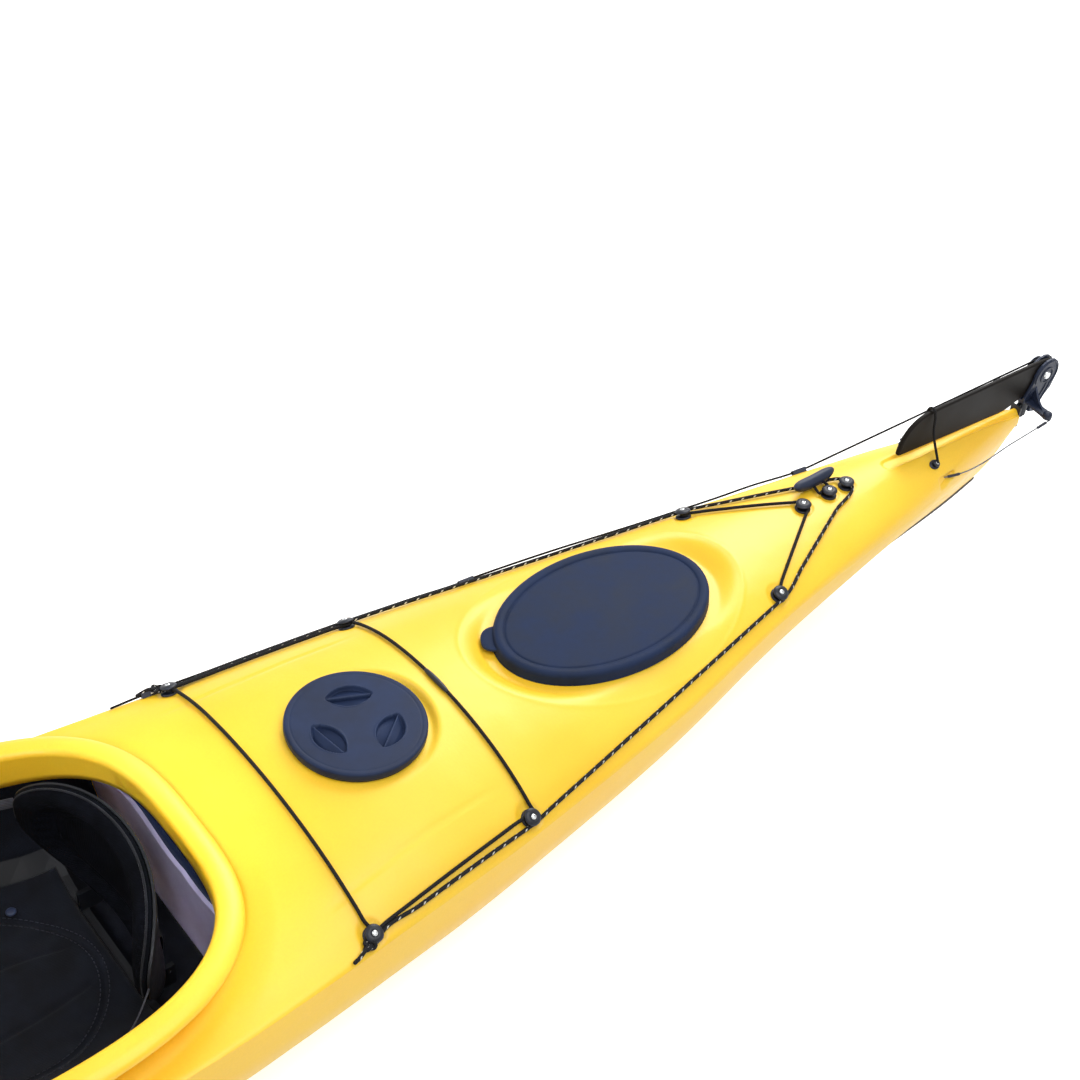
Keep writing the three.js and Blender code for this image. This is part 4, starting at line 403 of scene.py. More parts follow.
def makeWovenMaterial(name, main, second, threadMm, rough=0.85, sheen=0.06, gloss=0.15):
    # plain weave: two crossed sets of threads read from the place on the piece
    look, tree, shader, where = newMaterial(name)
    parts = addNode(tree, "SeparateXYZ", None, {"Vector": where.outputs["Object"]})
    waves = []
    for axis in ("X", "Y"):
        turn = addNode(tree, "Math", {"operation": "MULTIPLY", 1: 2 * math.pi * 1000 / threadMm},
                       {0: parts.outputs[axis]})
        waves.append(addNode(tree, "Math", {"operation": "SINE"}, {0: turn.outputs["Value"]}))
    weave = addNode(tree, "Math", {"operation": "MULTIPLY"},
                    {0: waves[0].outputs["Value"], 1: waves[1].outputs["Value"]})
    cloud = addNode(tree, "TexNoise", {"Scale": 22.0, "Detail": 4.0}, {"Vector": where.outputs["Object"]})
    mixed = addNode(tree, "Math", {"operation": "MULTIPLY_ADD", 1: 0.18},
                    {0: weave.outputs["Value"], 2: cloud.outputs["Fac"]})
    tones = addNode(tree, "ValToRGB", None, {"Fac": mixed.outputs["Value"]},
                    [(0.3, main), (0.75, second)])
    tree.links.new(tones.outputs["Color"], shader.inputs["Base Color"])
    bump = addNode(tree, "Bump", {"Strength": 0.6, "Distance": 0.0005}, {"Height": weave.outputs["Value"]})
    tree.links.new(bump.outputs["Normal"], shader.inputs["Normal"])
    shader.inputs["Roughness"].default_value = rough
    shader.inputs["Sheen Weight"].default_value = sheen
    shader.inputs["Sheen Roughness"].default_value = 0.4
    shader.inputs["Specular IOR Level"].default_value = gloss
    return look


looks = {
    "shell": makeShellMaterial(),
    # moulded rubber: fine even grain, edges catch a bluish light; the white surround would grey its gloss
    "rubber": grainedMaterial("moulded rubber, blue black", "182339", "202d4a", (0.50, 0.62), 1.2, 0.16, 45,
                              1.52, edge="43527a", gloss=0.09),
    # moulded ABS with a spark grained face; its lighter bluish edges are a painted highlight
    "dayCover": grainedMaterial("moulded ABS, navy black", "19233a", "24314f", (0.42, 0.54), 1.0, 0.08, 70,
                                1.53, edge="4a5877", gloss=0.11),
    # glass filled nylon, moulded: satin, lighter on edges
    "fitting": grainedMaterial("moulded nylon, black", "0f1117", "171b25", (0.30, 0.44), 1.4, 0.05, 12, 1.53,
                               edge="39415a", gloss=0.3),
    "rudderNylon": grainedMaterial("moulded nylon, rudder head", "10141f", "192032", (0.34, 0.48), 1.6, 0.06,
                                   20, 1.53, edge="3b4763", gloss=0.25),
    # anodised aluminium sheet, sealed dark: brown black with a dull sheen
    "blade": grainedMaterial("anodised aluminium, brown black", "0a090a", "17130f", (0.42, 0.54), 1.8, 0.02,
                             160, 1.5, edge="2c2723", gloss=0.1),
    "steel": grainedMaterial("stainless steel, turned", "b9bbbd", "cfd1d2", (0.18, 0.30), 2.0, 0.01, 10, 1.5,
                             metallic=1.0),
    "cableSteel": grainedMaterial("stainless wire rope", "4a4b4d", "77797b", (0.3, 0.45), 1.2, 0.15, 8, 1.5,
                                  metallic=1.0),
    "coatedSteel": grainedMaterial("powder coated steel, black", "101217", "181b21", (0.45, 0.6), 0.8, 0.05,
                                   30, 1.5, edge="3a3d44", gloss=0.3),
    "perimeter": makeCordMaterial("braided polyester with tracer flecks", "08080a", "1c1c20",
                                  {"everyMm": 21.0, "longMm": 3.2}),
    "bungee": makeCordMaterial("braided bungee sheath, black", "070708", "17171a", None),
    "seatPlastic": grainedMaterial("moulded polyethylene, black", "08090c", "0e1014", (0.42, 0.55), 2.0, 0.06,
                                   40, 1.51, edge="181a20", gloss=0.18),
    "seatCloth": makeWovenMaterial("woven nylon cover, black", "080a10", "11151f", 2.2),
    "backCloth": makeWovenMaterial("woven nylon and mesh, black", "050608", "0b0d13", 2.6, 0.95, 0.0, 0.03),
    "piping": makeWovenMaterial("piping tape, black", "0b0c10", "15181f", 1.8, 0.7),
    "thread": makeWovenMaterial("bonded thread, dark grey", "1a1d25", "2a2e39", 1.0, 0.6),
    "webbing": makeWovenMaterial("polypropylene webbing, dark grey", "2a2b31", "41434c", 1.6, 0.6),
    # cross linked foam sheet of the bulkhead, matt
    "bulkhead": grainedMaterial("foam bulkhead, lilac grey", "a9a3c6", "c1bcdc", (0.8, 0.92), 2.5, 0.2, 90,
                                1.45, gloss=0.3),
    "skid": grainedMaterial("keel strip, scuffed", "2b2824", "5a5346", (0.55, 0.8), 3.0, 0.15, 50, 1.5,
                            edge="7a715f", gloss=0.25),
    "tubing": grainedMaterial("polyethylene tubing, black", "141518", "1d1f23", (0.4, 0.55), 2.0, 0.03, 30,
                              1.51),
    "rail": grainedMaterial("anodised aluminium, graphite", "3c3d42", "4a4b51", (0.3, 0.42), 1.0, 0.02, 60,
                            1.5, metallic=0.9),
    "toggle": grainedMaterial("moulded nylon toggle, navy", "182033", "232d45", (0.38, 0.5), 1.6, 0.06, 30,
                              1.53, edge="4a5878", gloss=0.25),
}
print("materials made,", len(looks))


# The moulding

hullPlan = {
    "bowReach": 2351, "sternReach": 2265, "halfBeam": 310, "sheerHeight": 200, "deckHeight": 340, "wall": 6,
    "splitX": -350, "aftColumns": 760, "foreColumns": 430, "halfRows": 62, "hullHalfRows": 56,
    "hullColumns": 560,
    # place along the boat, half breadth, parting line, deck ridge, keel, how far the section is V shaped
    "rows": np.array([
        [-1.000, 0.045, 0.950, 0.6590, 0.820, 1.00], [-0.980, 0.070, 0.900, 0.6669, 0.520, 1.00],
        [-0.936, 0.135, 0.870, 0.6838, 0.330, 1.00], [-0.883, 0.215, 0.900, 0.7041, 0.235, 1.00],
        [-0.854, 0.258, 0.915, 0.7140, 0.210, 0.95], [-0.795, 0.330, 0.960, 0.7180, 0.165, 0.75],
        [-0.689, 0.462, 0.990, 0.7160, 0.100, 0.45], [-0.566, 0.645, 0.930, 0.7330, 0.050, 0.20],
        [-0.424, 0.806, 0.920, 0.7900, 0.015, 0.06], [-0.365, 0.858, 0.930, 0.8120, 0.005, 0.00],
        [-0.320, 0.893, 0.940, 0.7900, 0.000, 0.00], [-0.283, 0.923, 0.950, 0.7480, 0.000, 0.00],
        [-0.247, 0.950, 0.965, 0.7150, 0.000, 0.00], [-0.190, 0.984, 0.990, 0.6950, 0.000, 0.00],
        [-0.066, 1.000, 1.020, 0.7450, 0.000, 0.00], [0.063, 0.994, 1.050, 0.8700, 0.000, 0.00],
        [0.168, 0.952, 1.080, 0.9650, 0.000, 0.00], [0.294, 0.845, 1.120, 0.9800, 0.000, 0.04],
        [0.461, 0.661, 1.190, 0.9550, 0.010, 0.15], [0.629, 0.458, 1.280, 0.9350, 0.060, 0.40],
        [0.797, 0.265, 1.380, 0.9300, 0.190, 0.75], [0.901, 0.148, 1.460, 0.9440, 0.380, 1.00],
        [0.964, 0.077, 1.520, 0.9640, 0.700, 1.00], [0.990, 0.045, 1.540, 0.9750, 1.000, 1.00],
        [1.000, 0.022, 1.560, 0.9800, 1.250, 1.00],
    ]),
    # half sections as shares of breadth and height
    "hullMid": [[0, 0], [0.22, 0], [0.5, 0.035], [0.74, 0.13], [0.91, 0.33], [0.985, 0.6], [1, 0.82],
                [1, 1]],
    "hullEnd": [[0, 0], [0.08, 0.02], [0.3, 0.16], [0.52, 0.36], [0.72, 0.58], [0.87, 0.78], [0.96, 0.9],
                [1, 1]],
    "deckMid": [[1, 0], [0.985, 0.08], [0.94, 0.17], [0.82, 0.42], [0.64, 0.68], [0.42, 0.87], [0.2, 0.97],
                [0, 1]],
    "deckEnd": [[1, 0], [0.985, 0.2], [0.93, 0.4], [0.8, 0.6], [0.6, 0.77], [0.42, 0.88], [0.25, 0.96],
                [0, 1]],
}

rim = {
    "rearX": -531, "frontX": 330, "widestX": -125, "halfWidth": 256, "rearPower": 3.3, "frontPower": 2.1,
    "rearZ": 265, "frontRise": 85, "roll": 38, "neckIn": 1, "neckOut": 9, "lipDrop": 17, "hang": 10,
    "stepsRound": 420, "pointsAcross": 4, "channelDeep": 8, "channelOut": 82,
}
ovalHatch = {
    "coverX": 193, "coverY": 124, "skirt": 5, "rise": 22, "top": 4, "lipIn": 20, "lipWall": 4,
    "flange": 3, "neckDrop": 12, "moatX": 254, "moatY": 164, "steps": 144,
}
sternHatch = {"x": -1283, "seatZ": 232, "lean": 0.030}
bowHatch = {"x": 1040, "seatZ": 305, "lean": -0.030}
dayHatch = {
    "x": -826, "seatZ": 264, "lean": 0.054, "rise": 17, "top": 5, "neck": 80, "neckWall": 4,
    "flange": 99, "flangeThick": 4, "rimRise": 9, "neckDrop": 12, "plugDrop": 6, "sealIn": 86, "sealOut": 92,
    "ringIn": 108, "ringOut": 121,
}
groove = {"startX": -1922, "depth": 9.5, "inner": 8, "outer": 14.5, "fade": 70}
crease = {"startX": -618, "endX": -975, "deep": 1.9, "wide": 3.0}
fittings = {  # foot and normal of each fitting on the deck
    "deck_fitting_port_front": ((-673.91, 263.86, 199.26), (-0.0372, 0.4571, 0.8886)),
    "deck_fitting_port_middle": ((-963.30, 229.17, 200.05), (-0.0804, 0.5704, 0.8174)),
    "deck_fitting_port_rear": ((-1554.89, 113.71, 219.27), (-0.0428, 0.3964, 0.9171)),
    "deck_fitting_centre": ((-1716.02, 0.0, 241.30), (0.0072, 0.0, 1.0)),
    "deck_fitting_toggle_front": ((-1777.0, 0.0, 241.62), (0.0020, 0.0, 1.0)),
    "deck_fitting_toggle_rear": ((-1817.99, 0.0, 241.58), (-0.0029, 0.0, 1.0)),
    "deck_fitting_starboard_rear": ((-1554.89, -113.71, 219.27), (-0.0428, -0.3964, 0.9171)),
    "deck_fitting_starboard_middle": ((-963.30, -229.17, 200.05), (-0.0804, -0.5704, 0.8174)),
    "deck_fitting_starboard_front": ((-673.91, -263.86, 199.26), (-0.0372, -0.4571, 0.8886)),
    "deck_fitting_bow": ((1960.04, 0.0, 314.65), (-0.0167, 0.0, 0.9999)),
}
fittingSize = {"dishIn": 15.5, "dishOut": 20.5}
cableExit = {"x": -2022, "z": 203, "long": 46, "high": 15, "deep": 11}


def planAt(share, column):
    # smooth curve through the rows of the lines plan, its slope at a row taken from the rows either side
    rows = hullPlan["rows"]
    places, values = rows[:, 0], rows[:, column]
    share = np.clip(np.asarray(share, float), -1, 1)
    i = np.clip(np.searchsorted(places[1:-1], share, side="left"), 0, len(places) - 2)
    width = places[i + 1] - places[i]
    rise = (values[i + 1] - values[i]) / width
    slopes = np.zeros(len(places))
    slopes[1:-1] = (values[2:] - values[:-2]) / (places[2:] - places[:-2])
    start = np.where(i == 0, rise, slopes[i])
    end = np.where(i == len(places) - 2, rise, slopes[i + 1])
    t = np.clip((share - places[i]) / width, 0, 1)
    return hermite(values[i], values[i + 1], width * start, width * end, t)


def sectionAt(x):
    x = np.asarray(x, float)
    share = np.where(x < 0, x / hullPlan["sternReach"], x / hullPlan["bowReach"])
    columns = {"half": (1, "halfBeam"), "sheer": (2, "sheerHeight"), "ridge": (3, "deckHeight"),
               "keel": (4, "sheerHeight")}
    section = {name: planAt(share, column) * hullPlan[size] for name, (column, size) in columns.items()}
    section["ends"] = np.clip(planAt(share, 5), 0, 1)
    return section


def halfCurve(x, u, part, inset=0.0):
    # half section at each place x, read at places u from 0 to 7 along it, as a curve through its eight shares
    s = sectionAt(x)
    mid, end = (np.array(hullPlan[part + kind], float) for kind in ("Mid", "End"))
    shares = mid[None] + (end - mid)[None] * s["ends"][:, None, None]
    half = np.maximum(s["half"] - inset, 1)[:, None]
    y = shares[..., 0] * half
    if part == "deck":
        z = s["sheer"][:, None] + shares[..., 1] * (s["ridge"] - inset - s["sheer"])[:, None]
        before = np.stack([2 * y[:, 0] - y[:, 1], 2 * z[:, 0] - z[:, 1]], -1)
        after = np.stack([-y[:, 6], z[:, 6]], -1)
    else:
        keel = (s["keel"] + inset)[:, None]
        z = keel + shares[..., 1] * (s["sheer"][:, None] - keel)
        before = np.stack([-y[:, 1], z[:, 1]], -1)
        after = np.stack([2 * y[:, 7] - y[:, 6], 2 * z[:, 7] - z[:, 6]], -1)
    knots = np.concatenate([before[:, None], np.stack([y, z], -1), after[:, None]], 1)
    i = np.clip(np.floor(u).astype(int), 0, 6)
    t = (u - i)[None, :, None]
    a, b, c, d = (knots[:, i + k] for k in range(4))
    return (a * (-t ** 3 + 2 * t ** 2 - t) + b * (3 * t ** 3 - 5 * t ** 2 + 2)
            + c * (-3 * t ** 3 + 4 * t ** 2 + t) + d * (t ** 3 - t ** 2)) / 2


def evenShares(part, count):
    # places along the half section that lie about evenly by length
    fine = np.linspace(0, 7, 141)
    curve = halfCurve(np.array([-900.0]), fine, part)[0]
    run = runOf(curve)
    return np.interp(np.linspace(0, run[-1], count), run, fine)


def rimEdge(t):
    # superellipse, flatter at the rear and rounder at the front
    angle = 2 * math.pi * np.asarray(t, float)
    front = np.cos(angle) > 0
    power = np.where(front, rim["frontPower"], rim["rearPower"])
    reach = np.where(front, rim["frontX"] - rim["widestX"], rim["widestX"] - rim["rearX"])
    bend = lambda value: np.sign(value) * np.abs(value) ** (2 / power)
    x, y = rim["widestX"] + reach * bend(np.cos(angle)), rim["halfWidth"] * bend(np.sin(angle))
    return np.stack([x, y], -1)


def rimWalk(count):
    # points and outward normals at even steps of the outline's length
    fine = rimEdge(np.arange(2880) / 2880)
    closed = np.vstack([fine, fine[:1]])
    run = runOf(closed)
    wanted = np.arange(count) / count * run[-1]
    edge = np.stack([np.interp(wanted, run, closed[:, k]) for k in range(2)], -1)
    ahead, behind = np.roll(edge, -2, axis=0), np.roll(edge, 2, axis=0)
    along = unit(ahead - behind)
    return edge, np.stack([along[:, 1], -along[:, 0]], -1)


rimLine, rimOut = rimWalk(720)


def rimDistance(x, y):
    # distance outside the cockpit outline, negative inside
    flat = np.stack([np.ravel(x), np.ravel(y)], -1)
    out = np.full(len(flat), 999.0)
    near = (flat[:, 0] > rim["rearX"] - 130) & (flat[:, 0] < rim["frontX"] + 130)
    picked = np.flatnonzero(near)
    for chunk in np.array_split(picked, max(1, len(picked) // 8000 + 1)):
        offset = flat[chunk, None, :] - rimLine[None]
        square = (offset ** 2).sum(-1)
        k = square.argmin(1)
        side = (offset[np.arange(len(chunk)), k] * rimOut[k]).sum(-1)
        out[chunk] = np.where(side < 0, -1, 1) * np.sqrt(square[np.arange(len(chunk)), k])
    return out.reshape(np.shape(x))


def rimHeight(x):
    along = (x - rim["rearX"] + rim["roll"]) / (rim["frontX"] - rim["rearX"] + 2 * rim["roll"])
    return rim["rearZ"] + rim["frontRise"] * np.clip(along, 0, 1) ** 2


def sunkTo(z, floor, amount):
    # lowers z to the floor by the amount, with a soft corner where the deck already lies lower
    above = z - floor
    deep = 0.5 * (above + np.sqrt(above ** 2 + 4.0))
    return z - amount * deep


def reliefOn(x, y, z):
    # hatch moats, the cockpit channel, dishes under the fittings, the rudder groove and the creases
    for hatch in (sternHatch, bowHatch):
        dx = x - hatch["x"]
        inner = np.hypot(dx / (ovalHatch["coverX"] + 7), y / (ovalHatch["coverY"] + 7))
        outer = np.hypot((dx + 4) / ovalHatch["moatX"], y / ovalHatch["moatY"])
        t = (inner - 1) / np.maximum(inner - outer, 1e-3)
        t = np.where(inner < 1, 0, np.where(outer > 1, 1, t))
        floor = hatch["seatZ"] + 0.3 + hatch["lean"] * dx
        wall = smooth(np.clip((t - 0.22) / 0.78, 0, 1) ** 0.9)
        z = sunkTo(z, floor, 1 - wall) + 0.7 * np.exp(-((outer - 1.0) / 0.014) ** 2) * (y * y < 165 ** 2)
    d = np.hypot(x - dayHatch["x"], y)
    t = (d - dayHatch["ringIn"]) / (dayHatch["ringOut"] - dayHatch["ringIn"])
    z = sunkTo(z, dayHatch["seatZ"] + 0.3 + dayHatch["lean"] * (x - dayHatch["x"]), 1 - smooth(t))
    out = rimDistance(x, y)
    t = np.clip((out - rim["roll"] + 4) / (rim["channelOut"] - rim["roll"]), 0, 1)
    z = z - rim["channelDeep"] * np.where(out < 900, (1 - t) ** 1.35, 0)
    for foot, normal in fittings.values():
        away = np.hypot(x - foot[0], y - foot[1])
        floor = foot[2] - (normal[0] * (x - foot[0]) + normal[1] * (y - foot[1])) / normal[2]
        t = (away - fittingSize["dishIn"]) / (fittingSize["dishOut"] - fittingSize["dishIn"])
        z = z + (floor - z) * (1 - smooth(t)) * (away < fittingSize["dishOut"])
    ahead = np.maximum(x - groove["startX"], 0)
    across = np.hypot(ahead, y)
    wall = 1 - smooth((across - groove["inner"]) / (groove["outer"] - groove["inner"]))
    deep = groove["depth"] * mix(0.45, 1.0, smooth((groove["startX"] - x) / groove["fade"]))
    z = z - deep * wall * (x < groove["startX"] + groove["outer"])
    line = 181 + 28 * np.clip((x + 967) / 298, 0, None) ** 1.7 - 6 * np.clip((-967 - x) / 30, 0, None)
    fade = smooth((crease["startX"] - x) / 60) * smooth((x - crease["endX"]) / 90)
    z = z - crease["deep"] * fade * np.exp(-((np.abs(y) - line) / crease["wide"]) ** 2)
    return z


def deckHeightAt(x, y, relief=True):
    # height of the smooth deck over each (x, y)
    x, y = np.atleast_1d(np.asarray(x, float)), np.atleast_1d(np.asarray(y, float))
    fine = np.linspace(0, 7, 281)
    curve = halfCurve(x, fine, "deck")
    across = np.abs(y)[:, None]
    i = np.clip((curve[..., 0] > across).sum(1), 1, len(fine) - 1)
    rows = np.arange(len(x))
    outer, inner = curve[rows, i - 1], curve[rows, i]
    t = np.clip((outer[:, 0] - across[:, 0]) / np.maximum(outer[:, 0] - inner[:, 0], 1e-6), 0, 1)
    z = mix(outer[:, 1], inner[:, 1], t)
    return reliefOn(x, y, z) if relief else z


def deckNormalAt(x, y, step=5.0):
    dx = (deckHeightAt(x + step, y, False) - deckHeightAt(x - step, y, False)) / (2 * step)
    dy = (deckHeightAt(x, y + step, False) - deckHeightAt(x, y - step, False)) / (2 * step)
    return unit(np.stack([-dx, -dy, np.ones_like(dx)], -1))


def keepFaces(grid, rimGap, hatchIn, neckOut):
    # quads of a grid without those whose middle lies in a mouth, and without the points that no face needs
    points, faces = grid.reshape(-1, 3), gridFaces(*grid.shape[:2])
    x, y, _ = points[faces].mean(1).T
    gone = (rimDistance(x, y) < rimGap) | (np.hypot(x - dayHatch["x"], y) < dayHatch["neck"] + neckOut)
    for hatch in (sternHatch, bowHatch):
        wide, tall = ovalHatch["coverX"] - hatchIn, ovalHatch["coverY"] - hatchIn
        gone |= np.hypot((x - hatch["x"]) / wide, y / tall) < 1
    faces = faces[~gone]
    used = np.unique(faces)
    order = np.full(len(points), -1)
    order[used] = np.arange(len(used))
    return points[used], order[faces]


def deckGrid(places, half, inset=0.0, relief=True):
    curve = halfCurve(places, evenShares("deck", half), "deck", inset)
    column = np.broadcast_to(places[:, None, None], (len(places), half, 1))
    left = np.concatenate([column, curve], -1)
    right = np.concatenate([column, curve * np.array([-1, 1])], -1)[:, -2::-1]
    grid = np.concatenate([left, right], 1)
    if relief:
        grid[..., 2] = reliefOn(grid[..., 0], grid[..., 1], grid[..., 2])
        # the slot where the steering cable leaves the side: pushed in, its fore end squarer than its aft end
        x, y, z = grid[..., 0], grid[..., 1], grid[..., 2]
        slot = cableExit
        fore = smooth((slot["x"] + 0.5 * slot["long"] + 2 - x) / 5)
        aft = smooth((x - slot["x"] + 0.5 * slot["long"] + 2) / 9)
        share = np.clip((x - slot["x"]) / slot["long"] + 0.5, 0, 1)
        reach = mix(0.35, 1.0, share) * 0.5 * slot["high"]
        tall = 1 - smooth((np.abs(z - slot["z"]) - reach + 1.5) / 4)
        grid[..., 1] = y - np.sign(y) * slot["deep"] * fore * aft * tall
    return grid


def makeDeck():
    reachAft, reachFore, split = hullPlan["sternReach"], hullPlan["bowReach"], hullPlan["splitX"]
    t = np.linspace(0, 1, hullPlan["aftColumns"])
    aft = mix(-reachAft, split, 0.82 * t + 0.18 * t ** 2)  # columns crowd a little towards the stern
    near = np.linspace(split, rim["frontX"] + 110, 200)
    far = mix(rim["frontX"] + 110, reachFore, np.linspace(0, 1, hullPlan["foreColumns"] - 199)[1:])
    fore = np.concatenate([near, far])
    for name, places, replaced in (("deck_aft_skin", aft, ("deck_stern", "deck_rear", "deck_middle")),
                                   ("deck_fore_skin", fore, ("deck_fore", "deck_bow"))):
        points, faces = keepFaces(deckGrid(places, hullPlan["halfRows"]), 6.5, 17, 8)
        piece = addPiece(name, points, faces[:, ::-1], "kayak", looks["shell"])
        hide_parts(*replaced)
    # the inner face of the deck, a wall's thickness below it
    wall = hullPlan["wall"]
    lining = deckGrid(np.linspace(-reachAft + 60, reachFore - 60, 300), 24, wall, False)
    outer = reliefOn(lining[..., 0], lining[..., 1], lining[..., 2] + wall)
    lining[..., 2] = np.minimum(lining[..., 2], outer - wall)
    points, faces = keepFaces(lining, 16, 8, 16)
    piece = addPiece("deck_lining", points, faces, "kayak", looks["shell"])


def hullGrid(places, half, inset=0.0):
    curve = halfCurve(places, evenShares("hull", half), "hull", inset)
    column = np.broadcast_to(places[:, None, None], (len(places), half, 1))
    right = np.concatenate([column, curve * np.array([-1, 1])], -1)[:, :0:-1]
    return np.concatenate([right, np.concatenate([column, curve], -1)], 1)


def makeHull():
    # the underside from parting line to parting line, its inner face, and the filled ends of the moulding
    reachAft, reachFore = hullPlan["sternReach"], hullPlan["bowReach"]
    t = np.linspace(0, 1, hullPlan["hullColumns"])
    places = mix(-reachAft, reachFore, t - 0.06 * np.sin(4 * math.pi * t) / math.pi)
    grid = hullGrid(places, hullPlan["hullHalfRows"])
    faces = gridFaces(*grid.shape[:2])[:, ::-1]
    piece = addPiece("hull_skin", grid.reshape(-1, 3), faces, "kayak", looks["shell"])
    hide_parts("hull_shell")
    grid = hullGrid(np.linspace(-reachAft + 60, reachFore - 60, 260), 24, hullPlan["wall"])
    piece = addPiece("hull_lining", grid.reshape(-1, 3), gridFaces(*grid.shape[:2]), "kayak", looks["shell"])
    for x, name in ((-reachAft, "stern_end"), (reachFore, "bow_end")):
        place = np.array([float(x)])
        loop = np.vstack([deckGrid(place, 24)[0], hullGrid(place, 24)[0][1:-1]])
        centre = loop.mean(0)
        bulge = np.array([math.copysign(3.0, x), 0, 0])
        rings = [centre + (loop - centre) * share + bulge * math.sqrt(1 - share ** 2)
                 for share in (1, 0.94, 0.8, 0.55, 0.3)]
        points, faces = loftMesh(rings, [None, centre + bulge], x > 0)
        piece = addPiece(name, points, faces, "kayak", looks["shell"])


def hullBand(x, high, share, inset=0.0):
    # y and z on the hull at each place x, from the keel up to a height on either side, by shares of that way
    fine = np.linspace(0, 7, 281)
    curve = halfCurve(x, fine, "hull", inset)
    top = np.array([np.interp(height, c[:, 1], fine) for height, c in zip(high, curve)])
    i = np.clip(np.round(np.abs(share)[None, :] * top[:, None] / 7 * 280).astype(int), 0, 280)
    rows = np.arange(len(x))[:, None]
    return curve[rows, i, 0] * np.sign(share)[None, :], curve[rows, i, 1]


def makeCoaming():
    # the rolled rim: its cross profile is drawn once and carried round the outline
    count = rim["stepsRound"]
    edge, out = rimWalk(count)
    w, drop = rim["roll"], rim["lipDrop"]
    shares = np.array([0, 0.01, 0.12, 0.36, 0.66, 0.92, 1, 0.97, 0.8])
    offsets = np.array([rim["neckIn"], *(shares * w), rim["neckOut"] + 2, rim["neckOut"], rim["neckOut"]])
    heights = np.array([0, -0.8, -0.4, -0.08, 0, -0.1, -0.4, -0.7, -1.0, -1.02, -0.85, -1.0, 0]) * drop
    place = edge[:, None, :] + out[:, None, :] * offsets[None, :, None]
    z = rimHeight(place[..., 0]) + heights
    foot = deckHeightAt(*place[:, [0, 12]].reshape(-1, 2).T, False).reshape(count, 2)
    z[:, 0] = foot[:, 0] - rim["hang"] - 4
    z[:, 12] = foot[:, 1] - rim["hang"] - 4
    knots = np.concatenate([place, z[..., None]], -1)
    profile = roundedLoop(knots.transpose(1, 0, 2).reshape(13, -1), rim["pointsAcross"], sharp=(0, 10, 12))
    grid = profile.reshape(-1, count, 3).transpose(1, 0, 2)
    rows, columns = grid.shape[:2]
    faces = gridFaces(rows, columns, loopRows=True, loopColumns=True)[:, ::-1]
    piece = addPiece("coaming_roll", grid.reshape(-1, 3), faces, "kayak", looks["shell"])
    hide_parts("cockpit_coaming")


makeDeck()
makeHull()
makeCoaming()
print("moulding made")


# Hatches

def onSeat(points, hatch):
    # lays a shape drawn on the flat onto the hatch's leaning seat
    p = np.asarray(points, float)
    c, s = math.cos(hatch["lean"]), math.sin(hatch["lean"])
    x, z = hatch["x"] + c * p[:, 0] - s * p[:, 2], hatch["seatZ"] + s * p[:, 0] + c * p[:, 2]
    return np.stack([x, p[:, 1], z], -1)


def ovalRings(offsets, heights, steps):
    # rings of an oval, each set out from the cover's edge by its offset
    a = np.arange(steps) * 2 * math.pi / steps
    offsets, heights = np.asarray(offsets, float), np.asarray(heights, float)
    x = (ovalHatch["coverX"] + offsets)[:, None] * np.cos(a)
    y = (ovalHatch["coverY"] + offsets)[:, None] * np.sin(a)
    return np.stack([x, y, np.broadcast_to(heights[:, None], x.shape)], -1)


ovalFace = {  # the cover's top: rolled border, groove line, sunken grained field
    "offsets": [-5, -5, 1.2, 1.5, 1.0, 0.3, 0.0, -0.6, -2.2, -4.6, -7.5, -11, -14.5, -16.6, -17.4, -18.2,
                -19.2, -22, -27, -36, -50, -68, -86, -104, -118],
    "heights": [9, 2.0, 0.6, 1.4, 3.0, 8.0, 13.0, 17.0, 20.2, 21.9, 22.6, 22.5, 21.6, 20.9, 19.6, 19.7, 20.6,
                20.8, 20.9, 21.1, 21.4, 21.8, 22.1, 22.3, 22.4],
    "tabAngle": -0.36, "tabLong": 25, "tabHalf": 26, "tabLow": 8.5, "tabHigh": 14.5,
}


